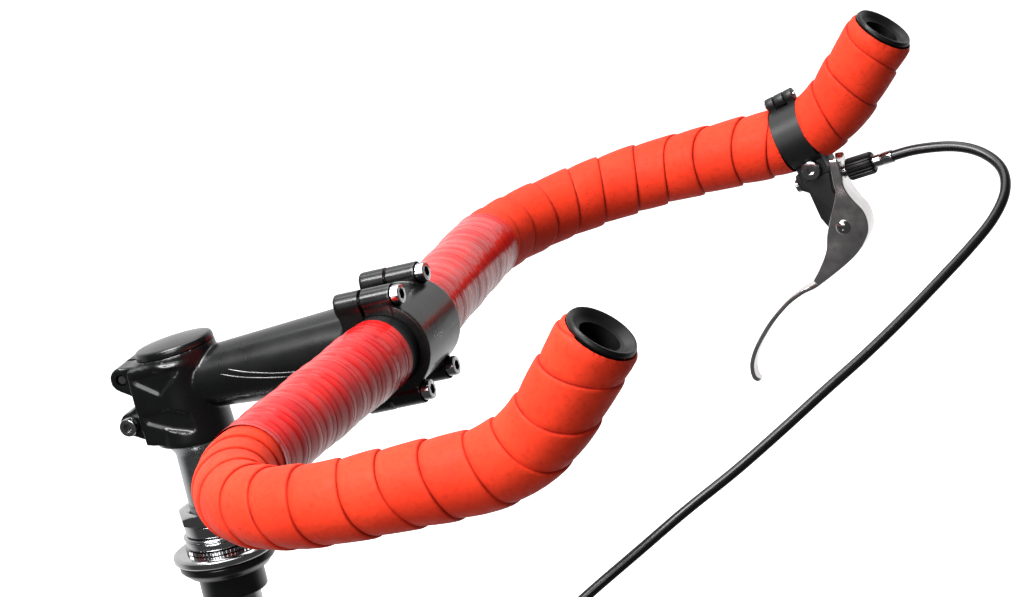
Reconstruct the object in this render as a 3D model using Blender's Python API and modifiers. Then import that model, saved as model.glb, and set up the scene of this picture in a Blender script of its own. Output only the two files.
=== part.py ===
"""Bullhorn handlebar on a threadless stem and quill adapter, with its upper headset and one brake lever.

Metres, +Z up the steering axis, the bicycle's front towards -Y and its left side towards +X.
The origin is on the steering axis, in the plane where the pressed cup rests on the head tube.
"""

import math

import bmesh
import bpy
from mathutils import Matrix, Vector

GAP = 0.0003  # left between touching pieces

# Handlebar
CLAMP_Z = 0.098
REACH = 0.108
CLAMP_STRAIGHT = 0.022
TOP_RUN = 0.1385
TOP_SWEEP = math.radians(5)
TOP_DROP = math.radians(1.3)
BEND_RADIUS = 0.0795
FORWARD_RUN = 0.0475
FORWARD_PITCH = math.radians(6)
KICK_RADIUS = 0.060
KICK_PITCH = math.radians(49)
KICK_RUN = 0.0345
TUBE_RADIUS = 0.0119
BULGE_RADIUS = 0.0159
BULGE_HALF = 0.031
BULGE_END = 0.060
TUBE_WALL = 0.0020
TAPE_RADIUS = 0.0157
TAPE_START = 0.062
FINISH_RADIUS = 0.0170
FINISH_WALL = 0.0008
FINISH_START = 0.0255
FINISH_END = 0.146
CLAMP_STATION = 0.0125  # the lever clamp's centre, past the start of the kick
CLAMP_HALF = 0.0065

# Stem
STEM_PITCH = math.radians(5)
BOLT_SIDE = 0.0158
BOLT_HEIGHT = 0.0220
SPLIT = -0.0050  # the faceplate's joint, ahead of the bar's centre where positive
BAR_CLAMP_RADIUS = 0.0208
BAR_CLAMP_HALF = 0.0200
STEERER_RADIUS = 0.0143
STEM_BOTTOM = 0.0630
STEM_TOP = 0.1010
LID_SEAT = 0.1030
LID_TILT = math.radians(7)
LOBES = ((0.0235, 0.0962, -1), (0.0240, 0.0752, 1))  # y, z and the side away from its bolt's head
LOBE_RADIUS = 0.0054
LOBE_HALF = 0.0125

# Headset and quill
QUILL_RADIUS = 0.0111
QUILL_BOTTOM = -0.075
WEDGE_BOTTOM = -0.102
WEDGE_SLOPE = math.radians(30)
BALLS = 14
BALL_CIRCLE = 0.0175
NUT_FLATS = 0.032

# Brake lever
LEVER_INSET = 0.0030  # from the horn's middle plane inwards to the lever's
LEVER_HALF = 0.0072
CHEEK = 0.0022
PIVOT = (-0.2495, 0.0640)  # y, z
ADJUSTER_TILT = math.radians(10)
ADJUSTER_START = (-0.2486, 0.0886)  # y, z where the adjuster's axis meets the back of the lever's boss
HOUSING_RADIUS = 0.0025
WIRE_RADIUS = 0.0008

# The brake housing's route, from the adjuster to its lower end.
HOUSING_ROUTE = (
    (0.2215, -0.2753, 0.0933),
    (0.2215, -0.2900, 0.0953),
    (0.2208, -0.3080, 0.0946),
    (0.2180, -0.3215, 0.0905),
    (0.2110, -0.3310, 0.0835),
    (0.2010, -0.3330, 0.0750),
    (0.1900, -0.3280, 0.0660),
    (0.1790, -0.3180, 0.0570),
    (0.1660, -0.3040, 0.0465),
    (0.1530, -0.2880, 0.0350),
    (0.1400, -0.2700, 0.0230),
    (0.1270, -0.2510, 0.0115),
    (0.1140, -0.2310, -0.0010),
    (0.1010, -0.2100, -0.0135),
    (0.0880, -0.1870, -0.0258),
    (0.0770, -0.1640, -0.0395),
    (0.0670, -0.1400, -0.0540),
    (0.0580, -0.1160, -0.0700),
    (0.0510, -0.0960, -0.0855),
)

BODY = bpy.data.collections.new("bullhorn_handlebar")
CUTTERS = bpy.data.collections.new("cutters")


def clear_scene():
    for old in list(bpy.data.objects):
        bpy.data.objects.remove(old, do_unlink=True)
    bpy.context.scene.collection.children.link(BODY)
    bpy.context.scene.collection.children.link(CUTTERS)


def material(name, colour, roughness, metallic=0.0):
    made = bpy.data.materials.new(name)
    made.use_nodes = True
    shader = made.node_tree.nodes["Principled BSDF"]
    shader.inputs["Base Color"].default_value = (*colour, 1.0)
    shader.inputs["Roughness"].default_value = roughness
    shader.inputs["Metallic"].default_value = metallic
    return made


PAINTS = {
    "black_alloy": ((0.012, 0.012, 0.013), 0.28, 0.0),
    "black_steel": ((0.015, 0.015, 0.016), 0.35, 0.6),
    "steel": ((0.62, 0.62, 0.63), 0.18, 1.0),
    "cork_tape": ((0.90, 0.075, 0.020), 0.72, 0.0),
    "finishing_tape": ((0.75, 0.012, 0.012), 0.12, 0.0),
    "black_plastic": ((0.012, 0.012, 0.012), 0.40, 0.0),
    "housing": ((0.010, 0.010, 0.010), 0.25, 0.0),
}


def add(name, mesh, paint, collection=BODY):
    """A named object for a mesh, with a material of its own."""
    made = bpy.data.objects.new(name, mesh)
    collection.objects.link(made)
    if paint:
        mesh.materials.clear()
        mesh.materials.append(material(f"{name}_{paint}", *PAINTS[paint]))
    return made


def cutter(made):
    """Moves an object to the cutters' collection, out of the finished part."""
    for home in list(made.users_collection):
        home.objects.unlink(made)
    CUTTERS.objects.link(made)
    made.hide_render = True
    made.display_type = "WIRE"
    return made


def combine(target, operation, *others):
    """Adds a Boolean modifier to target for each of the other objects."""
    for other in others:
        step = target.modifiers.new(operation.lower(), "BOOLEAN")
        step.operation = operation
        step.solver = "EXACT"
        step.object = cutter(other)
    return target


def shaded(mesh):
    mesh.shade_smooth()
    mesh.set_sharp_from_angle(angle=math.radians(35))
    return mesh


def turned(name, paint, profile, steps=40, place=(0, 0, 0), axis=(0, 0, 1)):
    """A closed profile of (radius, height) points turned about an axis; its outer side runs top to bottom."""
    mesh = bpy.data.meshes.new(name)
    form = bmesh.new()
    points = [form.verts.new((radius, 0, height)) for radius, height in profile]
    touches_axis = profile[0][0] == 0 and profile[-1][0] == 0
    for start, end in zip(points, points[1:] if touches_axis else points[1:] + points[:1]):
        form.edges.new((start, end))
    form.to_mesh(mesh)
    form.free()
    made = add(name, mesh, paint)
    spin = made.modifiers.new("screw", "SCREW")
    spin.steps = steps
    spin.render_steps = steps
    spin.use_merge_vertices = True
    spin.merge_threshold = 0.00001
    spin.use_smooth_shade = False
    made.location = place
    made.rotation_mode = "QUATERNION"
    made.rotation_quaternion = Vector((0, 0, 1)).rotation_difference(Vector(axis))
    return made


def rod(name, paint, start, end, radius, sides=24, end_radius=None):
    """A round bar or cone between two points."""
    start, end = Vector(start), Vector(end)
    form = bmesh.new()
    bmesh.ops.create_cone(
        form,
        cap_ends=True,
        segments=sides,
        radius1=radius,
        radius2=radius if end_radius is None else end_radius,
        depth=(end - start).length,
    )
    turn = Vector((0, 0, 1)).rotation_difference(end - start).to_matrix().to_4x4()
    form.transform(Matrix.Translation((start + end) / 2) @ turn)
    mesh = bpy.data.meshes.new(name)
    form.to_mesh(mesh)
    form.free()
    return add(name, shaded(mesh), paint)


def block(name, paint, low, high, turn=None, about=(0, 0, 0)):
    """A box between two corners, turned about a point where a rotation matrix is given."""
    form = bmesh.new()
    bmesh.ops.create_cube(form, size=1)
    low, high = Vector(low), Vector(high)
    form.transform(Matrix.Translation((low + high) / 2) @ Matrix.Diagonal((*(high - low), 1)))
    if turn:
        about = Vector(about)
        form.transform(Matrix.Translation(about) @ turn.to_4x4() @ Matrix.Translation(-about))
    mesh = bpy.data.meshes.new(name)
    form.to_mesh(mesh)
    form.free()
    return add(name, mesh, paint)


def as_mesh(made, paint):
    """The same shape as a mesh object, for one made from a curve."""
    scene = bpy.context.evaluated_depsgraph_get()
    mesh = bpy.data.meshes.new_from_object(made.evaluated_get(scene))
    form = bmesh.new()
    form.from_mesh(mesh)
    bmesh.ops.remove_doubles(form, verts=form.verts, dist=0.000005)
    bmesh.ops.recalc_face_normals(form, faces=form.faces)
    form.to_mesh(mesh)
    form.free()
    name, place = made.name, made.matrix_world.copy()
    bpy.data.objects.remove(made)
    solid = add(name, mesh, paint)
    solid.matrix_world = place
    return solid


def path_curve(name, points, radii, resolution=4, caps=True):
    """A poly curve with a round section whose radius is given at each point."""
    curve = bpy.data.curves.new(name, "CURVE")
    curve.dimensions = "3D"
    curve.bevel_depth = 1.0
    curve.bevel_resolution = resolution
    curve.use_fill_caps = caps
    line = curve.splines.new("POLY")
    line.points.add(len(points) - 1)
    for point, place, radius in zip(line.points, points, radii):
        point.co = (*place, 1.0)
        point.radius = radius
    made = bpy.data.objects.new(name, curve)
    BODY.objects.link(made)
    bpy.context.view_layer.update()
    return made


def sleeve(name, paint, points, radii, wall, resolution=6):
    """An open-ended tube with the given outer radii and wall."""
    tube = as_mesh(path_curve(name, points, radii, resolution, caps=False), paint)
    skin = tube.modifiers.new("wall", "SOLIDIFY")
    skin.thickness = wall
    skin.offset = -1
    return tube


def plate(name, paint, outline, side_low, side_high):
    """A flat outline of (y, z) points, thick along X between two planes."""
    curve = bpy.data.curves.new(name, "CURVE")
    curve.dimensions = "2D"
    curve.fill_mode = "BOTH"
    curve.extrude = (side_high - side_low) / 2
    line = curve.splines.new("POLY")
    line.use_cyclic_u = True
    line.points.add(len(outline) - 1)
    for point, (y, z) in zip(line.points, outline):
        point.co = (y, z, 0, 1)
    made = bpy.data.objects.new(name, curve)
    BODY.objects.link(made)
    upright = Matrix(((0, 0, 1), (1, 0, 0), (0, 1, 0))).to_4x4()
    made.matrix_world = Matrix.Translation(((side_low + side_high) / 2, 0, 0)) @ upright
    bpy.context.view_layer.update()
    return as_mesh(made, paint)


def smooth_line(points, steps=4):
    """Points along a Catmull-Rom curve through the given points."""
    points = [Vector(p) for p in points]
    last = len(points) - 1
    made = []
    for index in range(last):
        a, b, c, d = (points[min(max(i, 0), last)] for i in range(index - 1, index + 3))
        for step in range(steps):
            t = step / steps
            bend = (2 * a - 5 * b + 4 * c - d) * t**2 + (3 * b - a - 3 * c + d) * t**3
            made.append((2 * b + (c - a) * t + bend) / 2)
    return made + [points[-1]]


def arc(start, heading, new_heading, radius, steps):
    """Points on an arc that turns from one heading to another, without its first point."""
    angle = heading.angle(new_heading)
    inward = (new_heading - new_heading.dot(heading) * heading).normalized()
    made = []
    for step in range(1, steps + 1):
        turn = angle * step / steps
        made.append(start + radius * (math.sin(turn) * heading + (1 - math.cos(turn)) * inward))
    return made


def half_bar(side):
    """The middle line of one half of the bar, from the clamp to its open end."""
    top = Vector((side * math.cos(TOP_SWEEP), math.sin(TOP_SWEEP), -math.sin(TOP_DROP))).normalized()
    forward = Vector((0, -math.cos(FORWARD_PITCH), math.sin(FORWARD_PITCH)))
    up = Vector((0, -math.cos(KICK_PITCH), math.sin(KICK_PITCH)))
    centre = Vector((0, -REACH, CLAMP_Z))
    knee, bend = centre + Vector((side * CLAMP_STRAIGHT, 0, 0)), centre + top * TOP_RUN
    points = [centre] + [knee.lerp(bend, step / 9) for step in range(10)]
    points += arc(points[-1], top, forward, BEND_RADIUS, 10)
    points.append(points[-1] + forward * FORWARD_RUN)
    points += arc(points[-1], forward, up, KICK_RADIUS, 7)
    points.append(points[-1] + up * KICK_RUN)
    return points


def stations(points):
    """The distance along a line at each of its points."""
    made = [0.0]
    for start, end in zip(points, points[1:]):
        made.append(made[-1] + (end - start).length)
    return made


def stretch(points, begin, finish):
    """The part of a line between two distances along it."""
    along = stations(points)

    def at(distance):
        for index in range(len(along) - 1):
            if distance <= along[index + 1] or index == len(along) - 2:
                share = (distance - along[index]) / (along[index + 1] - along[index])
                return points[index].lerp(points[index + 1], share)

    inner = [p for p, d in zip(points, along) if begin + 0.002 < d < finish - 0.002]
    return [at(begin), *inner, at(finish)]


def tube_radius(distance):
    share = min(max((distance - BULGE_HALF) / (BULGE_END - BULGE_HALF), 0), 1)
    ease = share * share * (3 - 2 * share)
    return BULGE_RADIUS + (TUBE_RADIUS - BULGE_RADIUS) * ease


KICK_POINT = 21  # the index, in half_bar, of the point where the horn starts to rise


def lever_clamp_place():
    """The lever clamp's centre on the left horn, and the bar's heading there."""
    kick = half_bar(1)[KICK_POINT]
    forward = Vector((0, -math.cos(FORWARD_PITCH), math.sin(FORWARD_PITCH)))
    upward = Vector((0, math.sin(FORWARD_PITCH), math.cos(FORWARD_PITCH)))
    turn = CLAMP_STATION / KICK_RADIUS
    centre = kick + KICK_RADIUS * (math.sin(turn) * forward + (1 - math.cos(turn)) * upward)
    return centre, math.cos(turn) * forward + math.sin(turn) * upward


CLAMP_CENTRE, CLAMP_HEADING = lever_clamp_place()
CLAMP_DOWN = Vector((0, -CLAMP_HEADING.z, CLAMP_HEADING.y))
HORN_X = CLAMP_CENTRE.x
ADJUSTER_AXIS = Vector((0, -math.cos(ADJUSTER_TILT), math.sin(ADJUSTER_TILT)))
LEVER_X = HORN_X - LEVER_INSET
ADJUSTER_FOOT = Vector((LEVER_X, *ADJUSTER_START))
STEM_FORWARD = Vector((0, -math.cos(STEM_PITCH), math.sin(STEM_PITCH)))
STEM_UP = Vector((0, math.sin(STEM_PITCH), math.cos(STEM_PITCH)))
BAR_CENTRE = Vector((0, -REACH, CLAMP_Z))


def stem_point(side, forward, up):
    """A point by its offsets from the bar's centre, along the stem's own directions."""
    return BAR_CENTRE + Vector((side, 0, 0)) + STEM_FORWARD * forward + STEM_UP * up


def socket_screw(name, seat, axis, head_radius, head_height, shank_radius, length, key):
    """A cap screw with its head above the seat and a hexagon socket in it; axis points out of the head."""
    axis = Vector(axis).normalized()
    edge = 0.0004
    profile = (
        (0, head_height),
        (head_radius - edge, head_height),
        (head_radius, head_height - edge),
        (head_radius, GAP),
        (shank_radius, GAP),
        (shank_radius, 0.0005 - length),
        (shank_radius - 0.0005, -length),
        (0, -length),
    )
    screw = turned(name, "steel", profile, 16, seat, axis)
    top = Vector(seat) + axis * (head_height + 0.001)
    hexagon = rod(f"{name}_key", None, top - axis * (0.001 + head_height * 0.6), top, key, 6)
    return combine(screw, "DIFFERENCE", hexagon)


def headset():
    """The pressed cup, its caged balls, the adjusting race, and the rings and nut above it."""
    cup = (
        (0.0212, 0.0068),
        (0.0220, 0.0060),
        (0.0220, 0.0036),
        (0.0186, 0.0),
        (0.0151, 0.0),
        (0.0151, -0.0105),
        (0.0146, -0.0110),
        (0.0136, -0.0110),
        (0.0136, 0.0030),
        (0.0150, 0.0035),
        (0.0175, 0.0050),
        (0.0195, 0.0050),
        (0.0195, 0.0068),
    )
    turned("headset_cup", "black_steel", cup, 36)
    race = (
        (0.0165, 0.0112),
        (0.0230, 0.0112),
        (0.0238, 0.0104),
        (0.0238, 0.0080),
        (0.0230, 0.0072),
        (0.0198, 0.0072),
        (0.0198, 0.0096),
        (0.0150, 0.0096),
        (0.0150, 0.0075),
        (0.0131, 0.0075),
        (0.0131, 0.0112),
    )
    turned("adjusting_race", "steel", race, 36)
    ball_cage()
    lock_washer()
    ring("lower_spacer", 0.0166, 0.0134, 0.0170)
    ring("cable_hanger_washer", 0.0171, 0.0173, 0.0189)
    ring("upper_spacer", 0.0156, 0.0192, 0.0249)
    locknut()


def ring(name, radius, low, high):
    edge = 0.0004
    outer = ((radius - edge, high), (radius, high - edge), (radius, low + edge), (radius - edge, low))
    turned(name, "steel", (*outer, (0.0131, low), (0.0131, high)), 32)


def ball_cage():
    """The balls, held by a flat ring that passes through them."""
    height, radius = 0.0074, 0.0020
    half, thick = 0.0009, 0.0004
    flat = (
        (BALL_CIRCLE - half, height + thick),
        (BALL_CIRCLE + half, height + thick),
        (BALL_CIRCLE + half, height - thick),
        (BALL_CIRCLE - half, height - thick),
    )
    cage = turned("ball_cage", "steel", flat, 28)
    form = bmesh.new()
    for index in range(BALLS):
        angle = 2 * math.pi * index / BALLS
        place = Vector((BALL_CIRCLE * math.cos(angle), BALL_CIRCLE * math.sin(angle), height))
        bmesh.ops.create_uvsphere(
            form, u_segments=8, v_segments=5, radius=radius, matrix=Matrix.Translation(place)
        )
    mesh = bpy.data.meshes.new("balls")
    form.to_mesh(mesh)
    form.free()
    combine(cage, "UNION", add("balls", mesh, None))


def lock_washer():
    """A washer with a fine toothed rim."""
    teeth, low, high = 44, 0.0115, 0.0131
    washer = rod("toothed_washer", "steel", (0, 0, low), (0, 0, high), 0.0168, teeth * 2)
    for vertex in washer.data.vertices:
        step = round(math.atan2(vertex.co.y, vertex.co.x) / (math.pi / teeth))
        if step % 2:
            vertex.co.x *= 0.96
            vertex.co.y *= 0.96
    combine(washer, "DIFFERENCE", rod("washer_bore", None, (0, 0, 0), (0, 0, 0.02), 0.0131, 32))


def locknut():
    low, high = 0.0252, 0.0308
    nut = rod("locknut", "steel", (0, 0, low), (0, 0, high), NUT_FLATS / 2 / math.cos(math.pi / 6), 6)
    rim = NUT_FLATS / 2 + 0.0002
    round_off = (
        (0, high + 0.001),
        (rim, high + 0.001),
        (rim, high),
        (rim + 0.0035, high - 0.0016),
        (rim + 0.0035, low + 0.0012),
        (rim, low),
        (rim, low - 0.001),
        (0, low - 0.001),
    )
    combine(nut, "INTERSECT", turned("nut_round", None, round_off, 40))
    combine(nut, "DIFFERENCE", rod("nut_bore", None, (0, 0, 0.02), (0, 0, 0.04), 0.0116, 32))


def quill():
    """The adapter that fits inside the fork's steerer, with its expander bolt and wedge."""
    top, neck, shoulder = 0.0995, 0.0575, 0.0625
    outer = (
        (STEERER_RADIUS, top),
        (STEERER_RADIUS, shoulder),
        (0.0138, shoulder - 0.0008),
        (QUILL_RADIUS, neck),
        (QUILL_RADIUS, WEDGE_BOTTOM),
    )
    inner = (
        (0.0088, WEDGE_BOTTOM),
        (0.0088, 0.050),
        (0.0046, 0.052),
        (0.0046, 0.0880),
        (0.0076, 0.0880),
        (0.0076, top),
    )
    adapter = turned("quill_adapter", "steel", outer + inner, 28)
    slope = Matrix.Rotation(WEDGE_SLOPE, 3, "X")
    low, high = (-0.03, -0.04, QUILL_BOTTOM - 0.08), (0.03, 0.04, QUILL_BOTTOM)
    below = block("quill_cut", None, low, high, slope, (0, 0, QUILL_BOTTOM))
    combine(adapter, "DIFFERENCE", below)
    wedge = turned(
        "expander_wedge",
        "steel",
        ((0.0043, -0.060), (0.0109, -0.060), (0.0109, WEDGE_BOTTOM), (0.0043, WEDGE_BOTTOM)),
        32,
    )
    seat = QUILL_BOTTOM - 0.0008
    above = block("wedge_cut", None, (-0.03, -0.04, seat), (0.03, 0.04, seat + 0.08), slope, (0, 0, seat))
    combine(wedge, "DIFFERENCE", above)
    socket_screw("expander_bolt", (0, 0, 0.0880), (0, 0, 1), 0.0066, 0.0078, 0.0040, 0.196, 0.0034)


def stem():
    """The forged stem: steerer clamp, tapered arm, rear half of the bar clamp, and bolt bosses."""
    body = rod("stem_body", "black_alloy", (0, 0, STEM_BOTTOM), (0, 0, STEM_TOP), 0.0182, 36, 0.0174)
    rear = stem_point(0, -REACH - 0.001, 0)
    arm = rod("stem_arm", None, rear, stem_point(0, -0.008, 0), 0.0128, 36, 0.0190)
    hoop = rod(
        "stem_hoop",
        None,
        stem_point(-BAR_CLAMP_HALF, 0, 0),
        stem_point(BAR_CLAMP_HALF, 0, 0),
        BAR_CLAMP_RADIUS,
        48,
    )
    crown = oval("stem_crown", None, LID_SEAT - 0.0110, LID_SEAT, 0.0)
    combine(body, "UNION", arm, hoop, crown)
    for side in (-1, 1):
        for level in (-1, 1):
            rear_end = stem_point(side * BOLT_SIDE, SPLIT - 0.0115, level * BOLT_HEIGHT)
            front_end = stem_point(side * BOLT_SIDE, SPLIT + 0.004, level * BOLT_HEIGHT)
            combine(body, "UNION", rod("stem_boss", None, rear_end, front_end, 0.0052, 20))
            web_low = min(level * 0.010, level * BOLT_HEIGHT)
            web_high = max(level * 0.010, level * BOLT_HEIGHT)
            web = block(
                "stem_web",
                None,
                BAR_CENTRE + Vector((side * BOLT_SIDE - 0.0045, 0.0052, web_low)),
                BAR_CENTRE + Vector((side * BOLT_SIDE + 0.0045, 0.0160, web_high)),
                Matrix.Rotation(-STEM_PITCH, 3, "X"),
                BAR_CENTRE,
            )
            combine(body, "UNION", web)
    for y, z, _ in LOBES:
        lobe = rod("stem_lobe", None, (-LOBE_HALF, y, z), (LOBE_HALF, y, z), LOBE_RADIUS, 24)
        half = LOBE_RADIUS * 0.8
        root = block("stem_lobe_root", None, (-0.0117, 0.002, z - half), (0.0117, y, z + half))
        combine(body, "UNION", lobe, root)
    bores = [
        rod("steerer_bore", None, (0, 0, 0.05), (0, 0, 0.12), STEERER_RADIUS + GAP, 36),
        rod("bar_bore", None, stem_point(-0.03, 0, 0), stem_point(0.03, 0, 0), BULGE_RADIUS + GAP, 40),
        block("rear_slot", None, (-0.0012, 0.0, 0.05), (0.0012, 0.05, 0.12)),
        block(
            "face_cut",
            None,
            BAR_CENTRE + Vector((-0.04, -0.05, -0.04)),
            BAR_CENTRE + Vector((0.04, -SPLIT, 0.04)),
            Matrix.Rotation(-STEM_PITCH, 3, "X"),
            BAR_CENTRE,
        ),
    ]
    for side in (-1, 1):
        for level in (-1, 1):
            hole = (side * BOLT_SIDE, level * BOLT_HEIGHT)
            start, end = stem_point(hole[0], -0.030, hole[1]), stem_point(hole[0], 0.01, hole[1])
            bores.append(rod("boss_hole", None, start, end, 0.0027, 16))
    for y, z, _ in LOBES:
        bores.append(rod("lobe_hole", None, (-0.03, y, z), (0.03, y, z), 0.0027, 16))
    combine(body, "DIFFERENCE", *bores)
    for (y, z, side), name in zip(LOBES, ("upper_steerer_bolt", "lower_steerer_bolt")):
        seat = (-side * LOBE_HALF, y, z)
        socket_screw(name, seat, (-side, 0, 0), 0.0041, 0.0042, 0.0024, 0.0240, 0.0022)


def oval(name, paint, low, high, inset):
    """An upright oval slab about the steering axis, tilted up towards the front."""
    form = bmesh.new()
    bmesh.ops.create_cone(form, cap_ends=True, segments=36, radius1=1, radius2=1, depth=high - low)
    for vertex in form.verts:
        vertex.co.x *= 0.0155 - inset
        vertex.co.y *= 0.0190 - inset
    form.transform(Matrix.Translation((0, 0, (low + high) / 2)) @ Matrix.Rotation(-LID_TILT, 4, "X"))
    mesh = bpy.data.meshes.new(name)
    form.to_mesh(mesh)
    form.free()
    return add(name, shaded(mesh), paint)


def lid():
    """The smooth oval cover over the expander bolt, domed on top."""
    cover = oval("stem_lid", "black_alloy", LID_SEAT + GAP, LID_SEAT + 0.0046, 0.0003)
    edge = cover.modifiers.new("edge", "BEVEL")
    edge.width = 0.0022
    edge.segments = 3
    edge.limit_method = "ANGLE"


def faceplate():
    """The front half of the bar clamp with its four bolt bosses."""
    plate_body = rod(
        "faceplate",
        "black_alloy",
        stem_point(-BAR_CLAMP_HALF, 0, 0),
        stem_point(BAR_CLAMP_HALF, 0, 0),
        BAR_CLAMP_RADIUS,
        56,
    )
    for side in (-1, 1):
        for level in (-1, 1):
            rear_end = stem_point(side * BOLT_SIDE, SPLIT - 0.002, level * BOLT_HEIGHT)
            front_end = stem_point(side * BOLT_SIDE, 0.0086, level * BOLT_HEIGHT)
            boss = rod("face_boss", None, rear_end, front_end, 0.0050, 20)
            lower, upper = sorted((level * 0.012, level * BOLT_HEIGHT))
            web = block(
                "face_web",
                None,
                BAR_CENTRE + Vector((side * BOLT_SIDE - 0.0042, -0.0080, lower)),
                BAR_CENTRE + Vector((side * BOLT_SIDE + 0.0042, -SPLIT, upper)),
                Matrix.Rotation(-STEM_PITCH, 3, "X"),
                BAR_CENTRE,
            )
            combine(plate_body, "UNION", boss, web)
    cuts = [
        rod("face_bore", None, stem_point(-0.03, 0, 0), stem_point(0.03, 0, 0), BULGE_RADIUS + GAP, 40),
        block(
            "rear_cut",
            None,
            BAR_CENTRE + Vector((-0.04, -SPLIT - 0.0016, -0.04)),
            BAR_CENTRE + Vector((0.04, 0.05, 0.04)),
            Matrix.Rotation(-STEM_PITCH, 3, "X"),
            BAR_CENTRE,
        ),
    ]
    for side in (-1, 1):
        for level in (-1, 1):
            hole = (side * BOLT_SIDE, level * BOLT_HEIGHT)
            start, end = stem_point(hole[0], -0.020, hole[1]), stem_point(hole[0], 0.020, hole[1])
            cuts.append(rod("face_hole", None, start, end, 0.0028, 16))
            seat = stem_point(hole[0], 0.0080, hole[1])
            cuts.append(rod("face_seat", None, seat, seat + STEM_FORWARD * 0.012, 0.0054, 20))
            corner = ("upper" if level > 0 else "lower") + ("_right" if side < 0 else "_left")
            sizes = (0.0043, 0.0062, 0.0024, 0.0225, 0.0023)
            socket_screw(f"faceplate_bolt_{corner}", seat, STEM_FORWARD, *sizes)
    combine(plate_body, "DIFFERENCE", *cuts)


def handlebar():
    """The bent tube, its grip and finishing tapes, and the end plugs."""
    right, left = half_bar(-1), half_bar(1)
    whole = right[:0:-1] + left
    along = [-d for d in stations(right)[:0:-1]] + stations(left)
    sleeve("handlebar_tube", "black_alloy", whole, [tube_radius(abs(d)) for d in along], TUBE_WALL, 4)
    for side, name, half in ((-1, "right", right), (1, "left", left)):
        total = stations(half)[-1]
        pieces = [(f"grip_tape_{name}", TAPE_START, total)]
        if side > 0:
            clamp = stations(half)[KICK_POINT] + CLAMP_STATION
            pieces = [("grip_tape_left", TAPE_START, clamp), ("grip_tape_left_horn", clamp, total)]
        for node, begin, finish in pieces:
            tape_path = stretch(half, begin, finish)
            wall = TAPE_RADIUS - TUBE_RADIUS - GAP
            tape = sleeve(node, "cork_tape", tape_path, [TAPE_RADIUS] * len(tape_path), wall, 4)
            if side > 0:
                reach = CLAMP_HALF + GAP
                room = rod(f"{node}_room", None, clamp_point(0, -reach, 0), clamp_point(0, reach, 0), 0.03)
                combine(tape, "DIFFERENCE", room)
        finish_path = stretch(half, FINISH_START, FINISH_END)
        radii = [FINISH_RADIUS] * len(finish_path)
        sleeve(f"finishing_tape_{name}", "finishing_tape", finish_path, radii, FINISH_WALL, 4)
        end_plug(f"end_plug_{name}", half[-1], (half[-1] - half[-2]).normalized())


def end_plug(name, end, heading):
    """A push-in plug with a rounded flange and a deep cup."""
    inside = (TUBE_RADIUS - TUBE_WALL) * math.cos(math.radians(15)) - GAP
    profile = (
        (0, -0.0120),
        (0.0070, -0.0120),
        (0.0080, 0.0),
        (0.0104, 0.0026),
        (0.0120, 0.0034),
        (0.0134, 0.0026),
        (0.0138, 0.0014),
        (0.0134, GAP),
        (inside, GAP),
        (inside, -0.0160),
        (inside - 0.0010, -0.0170),
        (0, -0.0170),
    )
    turned(name, "black_plastic", profile, 28, end, heading)


def clamp_point(side, forward, down):
    """A point by its offsets from the lever clamp's centre."""
    return CLAMP_CENTRE + Vector((side, 0, 0)) + CLAMP_HEADING * forward + CLAMP_DOWN * down


def clamp_turn():
    """The rotation that takes -Y to the bar's heading at the lever clamp."""
    return Matrix.Rotation(-math.atan2(CLAMP_HEADING.z, -CLAMP_HEADING.y), 3, "X")


def clamp_block(name, side, forward, down):
    """A box from ranges of offsets about the lever clamp's centre."""
    low = CLAMP_CENTRE + Vector((side[0], -forward[1], -down[1]))
    high = CLAMP_CENTRE + Vector((side[1], -forward[0], -down[0]))
    return block(name, None, low, high, clamp_turn(), CLAMP_CENTRE)


CLAMP_INNER = 0.0126
CLAMP_OUTER = 0.0158
HINGE_UP = -0.0182
LUG_END = 0.0210
CLAMP_BOLT_DOWN = 0.0178
KNUCKLE_RADIUS = 0.0028


def clamp_cuts(prefix):
    """The bar's bore, the hinge pin's bore and the closing bolt's bore."""
    bar = clamp_point(0, -0.02, 0), clamp_point(0, 0.02, 0)
    pin = clamp_point(0, -0.02, HINGE_UP), clamp_point(0, 0.02, HINGE_UP)
    bolt = clamp_point(-0.02, 0, CLAMP_BOLT_DOWN), clamp_point(0.02, 0, CLAMP_BOLT_DOWN)
    return [
        rod(f"{prefix}_bar", None, *bar, CLAMP_INNER, 40),
        rod(f"{prefix}_pin", None, *pin, 0.0012, 12),
        rod(f"{prefix}_bolt", None, *bolt, 0.0023, 16),
    ]


def knuckle(name, begin, finish, extra=0.0):
    start, end = clamp_point(0, begin, HINGE_UP), clamp_point(0, finish, HINGE_UP)
    return rod(name, None, start, end, KNUCKLE_RADIUS + extra, 16)


def clamp_half(name, side, knuckles, gaps):
    """Half of the lever's clamp, on one side of the bar, with a lug and its share of the hinge's knuckles."""
    start, end = clamp_point(0, -CLAMP_HALF, 0), clamp_point(0, CLAMP_HALF, 0)
    half = rod(name, "black_alloy", start, end, CLAMP_OUTER, 40)
    lug = clamp_block(f"{name}_lug", sorted((0, side * 0.0078)), (-CLAMP_HALF, CLAMP_HALF), (0.0110, LUG_END))
    combine(half, "UNION", lug)
    across = sorted((-side * 0.05, side * 0.0004))
    combine(half, "DIFFERENCE", clamp_block(f"{name}_cut", across, (-0.03, 0.03), (-0.04, 0.04)))
    for begin, finish in gaps:
        combine(half, "DIFFERENCE", knuckle(f"{name}_gap", begin, finish, GAP))
    for begin, finish in knuckles:
        root = clamp_block(
            f"{name}_root",
            sorted((side * 0.0006, side * 0.0025)),
            (begin + GAP, finish - GAP),
            (HINGE_UP + 0.0004, -0.0142),
        )
        combine(half, "UNION", knuckle(f"{name}_knuckle", begin, finish), root)
    return half


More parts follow.
